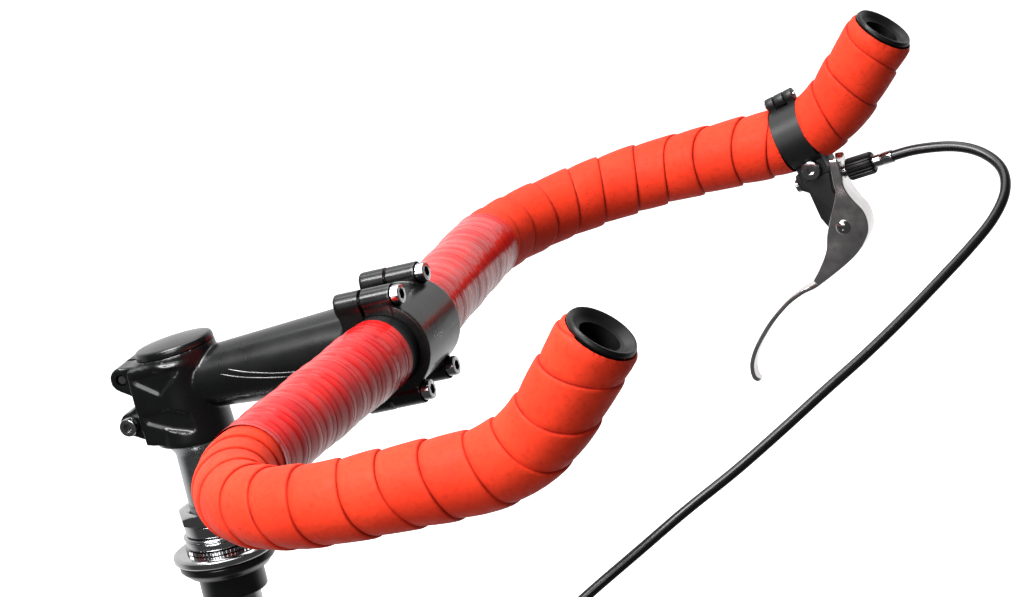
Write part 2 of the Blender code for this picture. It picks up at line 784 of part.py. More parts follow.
def clamp_band():
    """The hinged half of the lever's clamp, on the bar's inner side."""
    band = clamp_half("lever_clamp_band", -1, ((-0.0062, -0.0026), (0.0026, 0.0062)), ((-0.0023, 0.0023),))
    combine(band, "DIFFERENCE", *clamp_cuts("band"))


def bracket():
    """The fixed half of the clamp, with the arm that carries the pivot and the cable's anchor."""
    body = clamp_half("lever_bracket", 1, ((-0.0020, 0.0020),), ((-0.0070, -0.0023), (0.0023, 0.0070)))
    outline = (
        (-0.2304, 0.0912),
        (-0.2303, 0.0878),
        (-0.2316, 0.0838),
        (-0.2355, 0.0820),
        (-0.2386, 0.0690),
        (-0.2425, 0.0625),
        (-0.2460, 0.0586),
        (-0.2510, 0.0576),
        (-0.2553, 0.0605),
        (-0.2558, 0.0660),
        (-0.2530, 0.0705),
        (-0.2490, 0.0755),
        (-0.2470, 0.0820),
        (-0.2474, 0.0900),
        (-0.2430, 0.0935),
        (-0.2360, 0.0925),
    )
    half = LEVER_HALF - CHEEK - GAP
    arm = plate("bracket_arm", None, outline, LEVER_X - half, LEVER_X + half)
    room = clamp_block("band_room", (-0.05, 0.0006), (-CLAMP_HALF - GAP, 0.03), (-0.04, LUG_END + GAP))
    combine(arm, "DIFFERENCE", room)
    combine(body, "UNION", arm)
    cuts = clamp_cuts("bracket")
    cuts.append(rod("wire_way", None, along_adjuster(-0.022), along_adjuster(0.004), 0.0013, 12))
    cuts.append(rod("anchor_seat", None, along_adjuster(-0.030), along_adjuster(-0.0140), 0.0036, 20))
    cuts.append(rod("pivot_hole", None, (LEVER_X - 0.02, *PIVOT), (LEVER_X + 0.02, *PIVOT), 0.0026, 16))
    combine(body, "DIFFERENCE", *cuts)


def lever_clamp_hardware():
    pin_start, pin_end = clamp_point(0, -0.0070, HINGE_UP), clamp_point(0, 0.0070, HINGE_UP)
    rod("clamp_hinge_pin", "steel", pin_start, pin_end, 0.0009, 12)
    seat = clamp_point(-0.0078, 0, CLAMP_BOLT_DOWN)
    socket_screw("lever_clamp_bolt", seat, (-1, 0, 0), 0.0042, 0.0036, 0.0020, 0.0145, 0.0021)


LEVER_REAR = (
    (-0.2486, 0.0975),
    (-0.2490, 0.0870),
    (-0.2485, 0.0800),
    (-0.2440, 0.0695),
    (-0.2406, 0.0613),
    (-0.2385, 0.0531),
    (-0.2337, 0.0451),
    (-0.2290, 0.0390),
)
LEVER_FRONT = (
    (-0.2530, 0.0975),
    (-0.2535, 0.0900),
    (-0.2537, 0.0828),
    (-0.2566, 0.0762),
    (-0.2605, 0.0700),
    (-0.2614, 0.0635),
    (-0.2593, 0.0575),
    (-0.2514, 0.0489),
    (-0.2405, 0.0418),
    (-0.2312, 0.0372),
)
BLADE = (
    (-0.2312, 0.0372),
    (-0.2223, 0.0338),
    (-0.2139, 0.0291),
    (-0.2049, 0.0216),
    (-0.1979, 0.0139),
    (-0.1927, 0.0068),
    (-0.1895, -0.0002),
    (-0.1893, -0.0060),
    (-0.1915, -0.0090),
)


def brake_lever():
    """Two cheeks joined by a web that runs on as the blade, with a boss that carries the adjuster."""
    rear = smooth_line([(y, z, 0) for y, z in LEVER_REAR], 2)
    front = smooth_line([(y, z, 0) for y, z in LEVER_FRONT], 2)
    outline = [(p.x, p.y) for p in rear + front[::-1]]
    body = plate("brake_lever", "steel", outline, LEVER_X - LEVER_HALF, LEVER_X - LEVER_HALF + CHEEK)
    far = plate("lever_cheek", None, outline, LEVER_X + LEVER_HALF - CHEEK, LEVER_X + LEVER_HALF)
    web = smooth_line([(y + 0.0010, z, 0) for y, z in LEVER_FRONT[1:-2]] + [(y, z, 0) for y, z in BLADE], 3)
    boss = block(
        "lever_boss",
        None,
        (LEVER_X - LEVER_HALF + 0.0002, -0.2532, 0.0835),
        (LEVER_X + LEVER_HALF - 0.0002, ADJUSTER_START[0], 0.0960),
    )
    combine(body, "UNION", far, strip("lever_blade", web, 0.0020), boss)
    pivot = rod("lever_pivot_hole", None, (LEVER_X - 0.02, *PIVOT), (LEVER_X + 0.02, *PIVOT), 0.0026, 16)
    hole = rod("adjuster_hole", None, along_adjuster(-0.005), along_adjuster(0.012), 0.0033, 20)
    combine(body, "DIFFERENCE", pivot, hole)
    reach = LEVER_HALF + GAP
    profile = (
        (0, reach + 0.0014),
        (0.0022, reach + 0.0014),
        (0.0036, reach + 0.0006),
        (0.0036, reach),
        (0.0023, reach),
        (0.0023, -reach),
        (0.0034, -reach),
        (0.0034, -reach - 0.0012),
        (0, -reach - 0.0012),
    )
    turned("lever_pivot_pin", "steel", profile, 20, (LEVER_X, *PIVOT), (-1, 0, 0))


def strip(name, line, thick):
    """A band along a line of (y, z) points, as wide as the lever at its root and narrower at its tip."""
    form = bmesh.new()
    rows = []
    total = stations(line)
    for index, point in enumerate(line):
        before, after = line[max(index - 1, 0)], line[min(index + 1, len(line) - 1)]
        along = (after - before).normalized()
        share = total[index] / total[-1]
        half = (LEVER_HALF - 0.0002) * (1 - 0.28 * share * share)
        if index > len(line) - 4:
            half *= (0.90, 0.72, 0.42)[index - len(line) + 3]
        normal = Vector((-along.y, along.x, 0)) * (thick / 2)
        row = []
        for side, offset in ((-half, normal), (half, normal), (half, -normal), (-half, -normal)):
            place = point + offset
            row.append(form.verts.new((LEVER_X + side, place.x, place.y)))
        rows.append(row)
    for one, two in zip(rows, rows[1:]):
        for corner in range(4):
            following = (corner + 1) % 4
            form.faces.new((one[corner], one[following], two[following], two[corner]))
    form.faces.new(rows[0])
    form.faces.new(rows[-1])
    bmesh.ops.recalc_face_normals(form, faces=form.faces)
    mesh = bpy.data.meshes.new(name)
    form.to_mesh(mesh)
    form.free()
    return add(name, mesh, None)


def along_adjuster(distance):
    return ADJUSTER_FOOT + ADJUSTER_AXIS * distance


def adjuster():
    """The hollow adjusting screw with its ribbed knob, and the ferrule that takes the housing's end."""
    knob = rod("barrel_adjuster", "black_plastic", along_adjuster(0.0068), along_adjuster(0.0203), 0.0054, 48)
    for vertex in knob.data.vertices:
        arm = vertex.co - ADJUSTER_FOOT
        radial = arm - ADJUSTER_AXIS * arm.dot(ADJUSTER_AXIS)
        turn = math.atan2(radial.x, radial.cross(ADJUSTER_AXIS).x)
        if round(turn / math.pi * 24) % 2:
            vertex.co -= radial * 0.08
    screw = rod("adjuster_screw", None, along_adjuster(0.0002), along_adjuster(0.0245), 0.0030, 24)
    combine(knob, "UNION", screw)
    bore = rod("adjuster_bore", None, along_adjuster(-0.02), along_adjuster(0.04), 0.0013, 12)
    seat = rod("ferrule_seat", None, along_adjuster(0.0130), along_adjuster(0.04), 0.0025, 20)
    combine(knob, "DIFFERENCE", bore, seat)
    profile = (
        (0.0028, 0.0300),
        (0.0031, 0.0298),
        (0.0031, 0.0248),
        (0.0022, 0.0247),
        (0.0022, 0.0134),
        (0.0011, 0.0134),
        (0.0011, 0.0268),
        (0.0028, 0.0268),
    )
    turned("housing_ferrule", "steel", profile, 20, ADJUSTER_FOOT, ADJUSTER_AXIS)


def inner_wire():
    """The cable's cast head in its seat, and the wire that runs from it through the adjuster."""
    rod("cable_head", "steel", along_adjuster(-0.0200), along_adjuster(-0.0143), 0.0030, 20)
    rod("inner_wire", "steel", along_adjuster(-0.0140), along_adjuster(0.0264), WIRE_RADIUS, 10)


def housing():
    """The brake housing on its free route, with the end cap, bare wire and crimped tip at its lower end."""
    line = smooth_line(HOUSING_ROUTE, 3)
    as_mesh(path_curve("brake_housing", line, [HOUSING_RADIUS] * len(line), 2), "housing")
    end, heading = line[-1], (line[-1] - line[-2]).normalized()
    cap = (
        (0.0011, 0.0026),
        (0.0026, 0.0026),
        (0.0032, 0.0016),
        (0.0032, -0.0085),
        (0.0028, -0.0090),
        (0.0028, GAP),
        (0.0011, GAP),
    )
    turned("housing_end_cap", "steel", cap, 20, end, heading)
    start, tip = end + heading * 0.0006, end + heading * 0.0340
    wire = rod("brake_wire", "steel", start, tip, WIRE_RADIUS, 10)
    crimp = rod("wire_crimp", None, tip - heading * 0.001, tip + heading * 0.0110, 0.0012, 12)
    combine(wire, "UNION", crimp)


def build():
    clear_scene()
    headset()
    quill()
    stem()
    lid()
    faceplate()
    handlebar()
    clamp_band()
    bracket()
    lever_clamp_hardware()
    brake_lever()
    adjuster()
    inner_wire()
    housing()


build()
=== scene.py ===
"""The look of a taped bullhorn handlebar on its stem, headset and quill, with one brake lever."""

import math

import bmesh
import bpy
import numpy as np
from mathutils import Matrix, Vector


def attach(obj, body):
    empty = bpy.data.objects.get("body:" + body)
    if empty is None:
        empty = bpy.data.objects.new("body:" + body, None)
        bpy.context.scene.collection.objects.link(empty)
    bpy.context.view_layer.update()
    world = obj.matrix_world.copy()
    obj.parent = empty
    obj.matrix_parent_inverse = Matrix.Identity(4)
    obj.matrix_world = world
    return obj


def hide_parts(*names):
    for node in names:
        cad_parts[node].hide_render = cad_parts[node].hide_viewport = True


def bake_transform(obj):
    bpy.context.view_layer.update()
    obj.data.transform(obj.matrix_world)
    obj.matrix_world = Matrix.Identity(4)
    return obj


GAP = 0.0003

# Handlebar
CLAMP_Z = 0.098
REACH = 0.108
CLAMP_STRAIGHT = 0.022
TOP_RUN = 0.1385
TOP_SWEEP = math.radians(5)
TOP_DROP = math.radians(1.3)
BEND_RADIUS = 0.0795
FORWARD_RUN = 0.0475
FORWARD_PITCH = math.radians(6)
KICK_RADIUS = 0.060
KICK_PITCH = math.radians(49)
KICK_RUN = 0.0345
TUBE_RADIUS = 0.0119
BULGE_RADIUS = 0.0159
BULGE_HALF = 0.031
BULGE_END = 0.060
TAPE_START = 0.140
TAPE_RADIUS = 0.0151
TAPE_RISE = 0.0011
TAPE_PITCH = 0.0182
TAPE_SWAY = 0.0011
END_ROUND = 0.0032
END_DRAWN_IN = 0.0017
FINISH_START = 0.0262
FINISH_END = 0.147
FINISH_RADIUS = 0.0164
FINISH_PITCH = 0.0046
FINISH_SWAY = 0.0009
FILM_RISE = 0.00012
CLAMP_STATION = 0.0125
CLAMP_HALF = 0.0073

# Stem
STEM_PITCH = math.radians(5)
BOLT_SIDE = 0.0158
BOLT_HEIGHT = 0.0220
SPLIT = -0.0050
BAR_CLAMP_RADIUS = 0.0208
BAR_CLAMP_HALF = 0.0200
STEERER_RADIUS = 0.0143
LOBES = ((0.0235, 0.0962, -1), (0.0240, 0.0752, 1))
LOBE_HALF = 0.0125
LOBE_RADIUS = 0.0056
LOBE_BORE = 0.0027
STRIPE_RADIUS = 0.00022
LID_SEAT = 0.1046
LID_TILT = math.radians(7)
LID_HALF = (0.0153, 0.0188)
LID_WALL = 0.0032
LID_DOME = 0.0014
CROWN_RIM = 0.0005
CROWN_DEPTH = 0.0085
ARM_START = 0.0045
ARM_END = 0.010
ARM_RADIUS = 0.0131
ARM_ROOT_RADIUS = 0.0190
SHOULDER_HALF = 0.0162
RELIEF_INNER = 0.0154
BOLT_SEAT = 0.0080

# Screws: the head's radius and height, the shank's radius and length, and the key's radius
FACEPLATE_SCREW = (0.0043, 0.0062, 0.0024, 0.0225, 0.0025)
STEERER_SCREW = (0.0041, 0.0042, 0.0024, 0.0240, 0.0024)
EXPANDER_SCREW = (0.0066, 0.0078, 0.0040, 0.196, 0.0034)
LEVER_SCREW = (0.0047, 0.0036, 0.0020, 0.0145, 0.0021)

# Headset and quill
QUILL_RADIUS = 0.0111
STEEL_BORE = 0.0131
TEETH = 56
TOOTH_ROOT = 0.965
EXPANDER_SEAT = 0.0880
QUILL_BOTTOM = -0.075
WEDGE_BOTTOM = -0.102
WEDGE_SLOPE = math.radians(30)
NUT_FLATS = 0.032

# Brake lever
LEVER_INSET = 0.0030
LEVER_HALF = 0.0072
CHEEK = 0.0022
PIVOT = (-0.2495, 0.0640)
PIVOT_BORE = 0.0026
CHEEK_MIDDLE = -0.2515
CHEEK_SLOPE = 0.55
CHEEK_REACH = 0.0095
CHEEK_TOP = 0.078
BLADE_THICKNESS = 0.0022
ADJUSTER_TILT = math.radians(10)
ADJUSTER_START = (-0.2486, 0.0886)
KNOB_RADIUS = 0.0051
KNOB_RIBS = 20
RIB_HEIGHT = 0.00033
CLAMP_INNER = 0.0123
CLAMP_OUTER = 0.0158
LUG_HALF = 0.0078
HINGE_UP = -0.0188
KNUCKLE_RADIUS = 0.0032
LUG_END = 0.0210
CLAMP_BOLT_DOWN = 0.0166
WIRE_TAIL = 0.0340
HOUSING_RADIUS = 0.0025
WIRE_RADIUS = 0.0008
HOUSING_SEAT = 0.0031  # the housing starts this far along its route, clear of a ferrule screwed right out
HOUSING_ROUTE = (
    (0.2215, -0.2753, 0.0933), (0.2215, -0.2900, 0.0953), (0.2208, -0.3080, 0.0946),
    (0.2180, -0.3215, 0.0905), (0.2110, -0.3310, 0.0835), (0.2010, -0.3330, 0.0750),
    (0.1900, -0.3280, 0.0660), (0.1790, -0.3180, 0.0570), (0.1660, -0.3040, 0.0465),
    (0.1530, -0.2880, 0.0350), (0.1400, -0.2700, 0.0230), (0.1270, -0.2510, 0.0115),
    (0.1140, -0.2310, -0.0010), (0.1010, -0.2100, -0.0135), (0.0880, -0.1870, -0.0258),
    (0.0770, -0.1640, -0.0395), (0.0670, -0.1400, -0.0540), (0.0580, -0.1160, -0.0700),
    (0.0510, -0.0960, -0.0855),
)

CAMERA_PLACE = (-1.3792, -0.7220, 0.4912)
CAMERA_FORWARD = (0.89751, 0.36395, -0.24902)
CAMERA_UP = (0.30800, -0.11319, 0.94463)
CAMERA_LENS = 126.45
FLOOR_Z = -0.42
BRIGHT_SIDE = (0.90, 0.42, -0.10)


# ---------------------------------------------------------------- materials


class Shader:
    """A Principled material built up from a few named node helpers."""

    def __init__(self, name, colour, roughness, metallic=0.0, coat=0.0, specular=0.5):
        self.material = bpy.data.materials.new(name)
        self.material.use_nodes = True
        self.nodes = self.material.node_tree.nodes
        self.links = self.material.node_tree.links
        self.shader = self.nodes["Principled BSDF"]
        self.place = self.nodes.new("ShaderNodeTexCoord").outputs["Object"]
        self.set("Base Color", (*colour, 1.0))
        self.set("Roughness", roughness)
        self.set("Metallic", metallic)
        self.set("Coat Weight", coat)
        self.set("Coat Roughness", 0.08)
        self.set("Specular IOR Level", specular)
        self.height = None

    def set(self, socket, value):
        self.shader.inputs[socket].default_value = value

    def noise(self, scale, detail=3.0, stretch=None):
        node = self.nodes.new("ShaderNodeTexNoise")
        node.inputs["Scale"].default_value = scale
        node.inputs["Detail"].default_value = detail
        place = self.place
        if stretch:
            mapping = self.nodes.new("ShaderNodeMapping")
            mapping.inputs["Scale"].default_value = stretch
            self.links.new(place, mapping.inputs["Vector"])
            place = mapping.outputs["Vector"]
        self.links.new(place, node.inputs["Vector"])
        return node.outputs["Fac"]

    def speckles(self, scale, size):
        """1 inside small round spots, 0 elsewhere."""
        node = self.nodes.new("ShaderNodeTexVoronoi")
        node.inputs["Scale"].default_value = scale
        self.links.new(self.place, node.inputs["Vector"])
        return self.ramp(node.outputs["Distance"], size * 0.6, size, 1.0, 0.0)

    def ramp(self, source, low, high, to_low, to_high):
        node = self.nodes.new("ShaderNodeMapRange")
        node.inputs["From Min"].default_value = low
        node.inputs["From Max"].default_value = high
        node.inputs["To Min"].default_value = to_low
        node.inputs["To Max"].default_value = to_high
        self.links.new(source, node.inputs["Value"])
        return node.outputs["Result"]

    def multiply(self, one, two):
        node = self.nodes.new("ShaderNodeMath")
        node.operation = "MULTIPLY"
        self.links.new(one, node.inputs[0])
        self.links.new(two, node.inputs[1])
        return node.outputs[0]

    def attribute(self, name):
        node = self.nodes.new("ShaderNodeAttribute")
        node.attribute_name = name
        return node.outputs["Fac"]

    def tint(self, factor, colour):
        """Mixes the colour so far towards another by a factor."""
        base = self.shader.inputs["Base Color"]
        node = self.nodes.new("ShaderNodeMix")
        node.data_type = "RGBA"
        if base.is_linked:
            self.links.new(base.links[0].from_socket, node.inputs["A"])
        else:
            node.inputs["A"].default_value = base.default_value
        node.inputs["B"].default_value = (*colour, 1.0)
        self.links.new(factor, node.inputs["Factor"])
        self.links.new(node.outputs["Result"], base)
        return self

    def rough(self, factor, low, high):
        self.links.new(self.ramp(factor, 0.25, 0.75, low, high), self.shader.inputs["Roughness"])
        return self

    def bump(self, source, distance, strength=0.5):
        node = self.nodes.new("ShaderNodeBump")
        node.inputs["Distance"].default_value = distance
        node.inputs["Strength"].default_value = strength
        self.links.new(source, node.inputs["Height"])
        if self.height:
            self.links.new(self.height, node.inputs["Normal"])
        self.height = node.outputs["Normal"]
        self.links.new(self.height, self.shader.inputs["Normal"])
        return self


def black_paint():
    made = Shader("gloss_black", (0.0028, 0.0031, 0.0033), 0.26, coat=0.25, specular=0.45)
    made.rough(made.noise(90), 0.24, 0.33)
    made.tint(made.ramp(made.noise(700, 2), 0.62, 0.8, 0.0, 0.4), (0.016, 0.017, 0.018))
    return made.bump(made.noise(900, 2), 0.00002, 0.25).material


def satin_black():
    made = Shader("satin_black", (0.010, 0.0105, 0.011), 0.42, specular=0.45)
    made.rough(made.noise(140), 0.36, 0.48)
    return made.bump(made.noise(1500, 2), 0.00003, 0.4).material


def moulded_black():
    made = Shader("moulded_black", (0.005, 0.005, 0.005), 0.4, specular=0.3)
    made.rough(made.noise(220), 0.32, 0.46)
    return made.bump(made.noise(2600, 3), 0.00006, 0.5).material


def bright_metal(name, colour, low, high, stretch=None, waves=0.0):
    made = Shader(name, colour, low, metallic=1.0)
    made.bump(made.noise(45, 1), 0.004, waves)
    made.rough(made.noise(260, 4, stretch), low, high)
    made.tint(made.ramp(made.noise(60), 0.45, 0.85, 0.0, 0.5), tuple(0.55 * c for c in colour))
    return made.bump(made.noise(800, 3, stretch), 0.000015, 0.3).material


def cork():
    made = Shader("cork_tape", (0.95, 0.054, 0.018), 0.6, specular=0.16)
    made.tint(made.ramp(made.noise(30, 4), 0.35, 0.72, 0.0, 0.7), (0.78, 0.034, 0.011))
    made.tint(made.ramp(made.noise(420, 4), 0.50, 0.80, 0.0, 0.7), (0.66, 0.026, 0.010))
    patches = made.ramp(made.noise(42, 2), 0.55, 0.62, 0.0, 0.75)
    made.tint(made.multiply(made.speckles(420, 0.15), patches), (0.20, 0.006, 0.004))
    # Painted shade along each overlap step of the cork tape, where the seam attribute is set, made patchy by
    # noise.
    seam_shade_breakup = made.ramp(made.noise(70, 2), 0.30, 0.60, 0.35, 1.0)
    made.tint(made.multiply(made.attribute("seam"), seam_shade_breakup), (0.30, 0.008, 0.006))
    made.rough(made.noise(300), 0.50, 0.72)
    made.bump(made.noise(1300, 4), 0.00014, 0.5)
    made.bump(made.noise(260, 3, (1.0, 1.0, 1.6)), 0.0004, 0.28)
    return made.bump(made.noise(60, 2), 0.0012, 0.22).material


def film():
    made = Shader("finishing_tape", (0.80, 0.016, 0.014), 0.18, specular=0.35)
    made.tint(made.ramp(made.noise(60, 3), 0.42, 0.75, 0.0, 0.8), (0.50, 0.004, 0.010))
    made.tint(made.attribute("seam"), (0.36, 0.002, 0.008))
    made.rough(made.noise(260), 0.14, 0.30)
    return made.bump(made.noise(170, 3), 0.0004, 0.35).material


def housing_skin():
    made = Shader("housing_skin", (0.006, 0.006, 0.0065), 0.26, specular=0.5)
    made.rough(made.noise(300), 0.22, 0.34)
    return made.bump(made.noise(900, 2), 0.00004, 0.3).material


def pale_floor():
    made = Shader("pale_floor", (0.93, 0.93, 0.93), 0.8, specular=0.1)
    made.set("Emission Color", (1.0, 1.0, 1.0, 1.0))
    made.set("Emission Strength", 0.85)
    return made.rough(made.noise(3), 0.75, 0.85).material


# ---------------------------------------------------------------- shapes


def add(name, mesh, paint=None, shade=35):
    made = bpy.data.objects.new(name, mesh)
    bpy.context.scene.collection.objects.link(made)
    if paint:
        mesh.materials.clear()
        mesh.materials.append(paint)
    if shade:
        mesh.shade_smooth()
        mesh.set_sharp_from_angle(angle=math.radians(shade))
    return made


def from_form(name, form, paint=None, shade=35):
    bmesh.ops.recalc_face_normals(form, faces=form.faces)
    mesh = bpy.data.meshes.new(name)
    form.to_mesh(mesh)
    form.free()
    return add(name, mesh, paint, shade)


def finish_modifiers(made, shade=35):
    """Applies an object's modifiers."""
    graph = bpy.context.evaluated_depsgraph_get()
    mesh = bpy.data.meshes.new_from_object(made.evaluated_get(graph))
    made.modifiers.clear()
    made.data = mesh
    if shade:
        mesh.shade_smooth()
        mesh.set_sharp_from_angle(angle=math.radians(shade))
    return made


def circle(radius, height, steps):
    turns = [2 * math.pi * step / steps for step in range(steps)]
    return [Vector((radius * math.cos(turn), radius * math.sin(turn), height)) for turn in turns]


def turned(name, paint, profile, steps=96, place=(0, 0, 0), axis=(0, 0, 1), shade=30):
    """A closed profile of (radius, height) points turned about an axis."""
    form = bmesh.new()
    turn = Vector((0, 0, 1)).rotation_difference(Vector(axis)).to_matrix().to_4x4()
    spot = Matrix.Translation(place) @ turn
    rings = []
    for radius, height in profile:
        if radius == 0:
            rings.append([form.verts.new(spot @ Vector((0, 0, height)))] * steps)
        else:
            rings.append([form.verts.new(spot @ point) for point in circle(radius, height, steps)])
    open_ended = profile[0][0] == 0 and profile[-1][0] == 0
    pairs = list(zip(rings, rings[1:]))
    if not open_ended:
        pairs.append((rings[-1], rings[0]))
    for upper, lower in pairs:
        for step in range(steps):
            after = (step + 1) % steps
            corners = dict.fromkeys((upper[step], upper[after], lower[after], lower[step]))
            if len(corners) > 2:
                form.faces.new(tuple(corners))
    return from_form(name, form, paint, shade)


def softened(profile, edge=0.0003):
    """The same closed profile with each convex corner cut twice, for a small round edge."""
    made = []
    count = len(profile)
    for index, corner in enumerate(profile):
        before, after = Vector(profile[index - 1]), Vector(profile[(index + 1) % count])
        here = Vector(corner)
        back, ahead = before - here, after - here
        reach = min(edge, back.length / 2.5, ahead.length / 2.5)
        back.normalize()
        ahead.normalize()
        start, end = here + back * reach, here + ahead * reach
        made += [start, (start + end) / 4 + here / 2, end]
    return [tuple(p) for p in made]


def rod(name, start, end, radius, sides=48, end_radius=None, paint=None):
    start, end = Vector(start), Vector(end)
    form = bmesh.new()
    bmesh.ops.create_cone(
        form,
        cap_ends=True,
        segments=sides,
        radius1=radius,
        radius2=radius if end_radius is None else end_radius,
        depth=(end - start).length,
    )
    turn = Vector((0, 0, 1)).rotation_difference(end - start).to_matrix().to_4x4()
    form.transform(Matrix.Translation((start + end) / 2) @ turn)
    return from_form(name, form, paint)


def block(name, low, high, turn=None, about=(0, 0, 0)):
    form = bmesh.new()
    bmesh.ops.create_cube(form, size=1)
    low, high = Vector(low), Vector(high)
    form.transform(Matrix.Translation((low + high) / 2) @ Matrix.Diagonal((*(high - low), 1)))
    if turn:
        about = Vector(about)
        form.transform(Matrix.Translation(about) @ turn.to_4x4() @ Matrix.Translation(-about))
    return from_form(name, form)


def lofted(name, paint, rings, shade=35):
    """Rings of points skinned one to the next, with flat ends."""
    form = bmesh.new()
    loops = [[form.verts.new(tuple(point)) for point in ring] for ring in rings]
    for one, two in zip(loops, loops[1:]):
        for step in range(len(one)):
            after = (step + 1) % len(one)
            form.faces.new((one[step], one[after], two[after], two[step]))
    form.faces.new(loops[0])
    form.faces.new(loops[-1])
    return from_form(name, form, paint, shade)


def plate(name, outline, side_low, side_high):
    """A flat outline of (y, z) points between two planes across X."""
    return lofted(name, None, [[(side, y, z) for y, z in outline] for side in (side_low, side_high)])


def fused(name, paint, parts, voxel, rounds):
    """Overlapping solids melted into one skin, with soft joins like a forging's."""
    form = bmesh.new()
    for part in parts:
        if part.modifiers:
            finish_modifiers(part)
        form.from_mesh(part.data)
        bpy.data.objects.remove(part)
    made = from_form(name, form, None, None)
    melt = made.modifiers.new("melt", "REMESH")
    melt.mode = "VOXEL"
    melt.voxel_size = voxel
    melt.adaptivity = 0.0
    smooth = made.modifiers.new("smooth", "SMOOTH")
    smooth.factor = 0.5
    smooth.iterations = rounds
    finish_modifiers(made)
    made.data.materials.clear()
    made.data.materials.append(paint)
    return made


def cut(made, cutters, operation="DIFFERENCE", shade=35):
    """Applies a Boolean with all the cutters, which are then removed."""
    for cutter in cutters:
        step = made.modifiers.new("cut", "BOOLEAN")
        step.operation = operation
        step.solver = "EXACT"
        step.object = cutter
    finish_modifiers(made, shade)
    for cutter in cutters:
        bpy.data.objects.remove(cutter)
    return made


def rounded(made, width, segments=3):
    edge = made.modifiers.new("edge", "BEVEL")
    edge.width = width
    edge.segments = segments
    edge.limit_method = "ANGLE"
    edge.angle_limit = math.radians(35)
    return finish_modifiers(made)


def smooth_line(points, steps=8):
    """Points along a Catmull-Rom curve through the given points."""
    points = [Vector(p) for p in points]
    last = len(points) - 1
    made = []
    for index in range(last):
        a, b, c, d = (points[min(max(i, 0), last)] for i in (index - 1, index, index + 1, index + 2))
        for step in range(steps):
            t = step / steps
            bend = (2 * a - 5 * b + 4 * c - d) * t**2 + (3 * b - a - 3 * c + d) * t**3
            made.append((2 * b + (c - a) * t + bend) / 2)
    return made + [points[-1]]


class Line:
    """A line in space, with a frame that twists as little as it can at any distance along it."""

    def __init__(self, points):
        self.points = np.array([tuple(p) for p in points])
        steps = np.linalg.norm(np.diff(self.points, axis=0), axis=1)
        self.along = np.concatenate(([0.0], np.cumsum(steps)))
        self.length = self.along[-1]
        tangents = np.gradient(self.points, self.along, axis=0)
        self.tangents = tangents / np.linalg.norm(tangents, axis=1)[:, None]
        first = Vector((0, 0, 1)).cross(Vector(self.tangents[0])).cross(Vector(self.tangents[0]))
        normals = [-first.normalized()]
        for before, after in zip(self.tangents, self.tangents[1:]):
            turn = Vector(before).rotation_difference(Vector(after))
            normals.append((turn @ normals[-1]).normalized())
        self.normals = np.array([tuple(n) for n in normals])

    def pick(self, values, distance):
        return np.stack([np.interp(distance, self.along, values[:, axis]) for axis in range(3)], axis=-1)

    def surface(self, distance, angle, radius):
        """Points at a radius and angle round the line, at distances along it."""
        tangent = self.pick(self.tangents, distance)
        normal = self.pick(self.normals, distance)
        side = np.cross(tangent, normal)
        round_it = np.cos(angle)[..., None] * normal + np.sin(angle)[..., None] * side
        return self.pick(self.points, distance) + radius[..., None] * round_it


def tube(name, paint, line, stations, radii, sides=48):
    """A round skin round a line, with a radius at each station and flat ends."""
    angle = np.linspace(0, 2 * np.pi, sides, endpoint=False)
    distance, turn = np.meshgrid(stations, angle, indexing="ij")
    radius = np.repeat(np.asarray(radii)[:, None], sides, axis=1)
    return lofted(name, paint, line.surface(distance, turn, radius))


def strip(name, line, thick, half_widths):
    """A band along a line of (y, z, 0) points, as wide each side of the lever's middle as it is told."""
    rows = []
    for index, point in enumerate(line):
        before, after = line[max(index - 1, 0)], line[min(index + 1, len(line) - 1)]
        along = (after - before).normalized()
        normal = Vector((-along.y, along.x, 0)) * (thick / 2)
        half = half_widths[index]
        row = []
        for side, offset in ((-half, normal), (half, normal), (half, -normal), (-half, -normal)):
            place = point + offset
            row.append((LEVER_X + side, place.x, place.y))
        rows.append(row)
    return lofted(name, None, rows)


def settle(piece, body, slot, *nodes):
    """Puts a finished piece on its body, in place of its CAD nodes."""
    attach(piece, body)
    if nodes:
        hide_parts(*nodes)
    return piece


# ---------------------------------------------------------------- places


def arc(start, heading, new_heading, radius, steps):
    angle = heading.angle(new_heading)
    inward = (new_heading - new_heading.dot(heading) * heading).normalized()
    made = []
    for step in range(1, steps + 1):
        turn = angle * step / steps
        made.append(start + radius * (math.sin(turn) * heading + (1 - math.cos(turn)) * inward))
    return made


def half_bar(side):
    """The middle line of one half of the bar, from the clamp to its open end."""
    top = Vector((side * math.cos(TOP_SWEEP), math.sin(TOP_SWEEP), -math.sin(TOP_DROP))).normalized()
    forward = Vector((0, -math.cos(FORWARD_PITCH), math.sin(FORWARD_PITCH)))
    up = Vector((0, -math.cos(KICK_PITCH), math.sin(KICK_PITCH)))
    centre = Vector((0, -REACH, CLAMP_Z))
    knee, bend = centre + Vector((side * CLAMP_STRAIGHT, 0, 0)), centre + top * TOP_RUN
    points = [centre] + [knee.lerp(bend, step / 30) for step in range(31)]
    points += arc(points[-1], top, forward, BEND_RADIUS, 60)
    points += [points[-1] + forward * (FORWARD_RUN * step / 12) for step in range(1, 13)]
    points += arc(points[-1], forward, up, KICK_RADIUS, 40)
    points += [points[-1] + up * (KICK_RUN * step / 10) for step in range(1, 11)]
    return points


KICK_POINT = 1 + 30 + 60 + 12  # the index, in half_bar, of the point where the horn starts to rise
LEFT, RIGHT = Line(half_bar(1)), Line(half_bar(-1))
CLAMP_ALONG = LEFT.along[KICK_POINT] + CLAMP_STATION


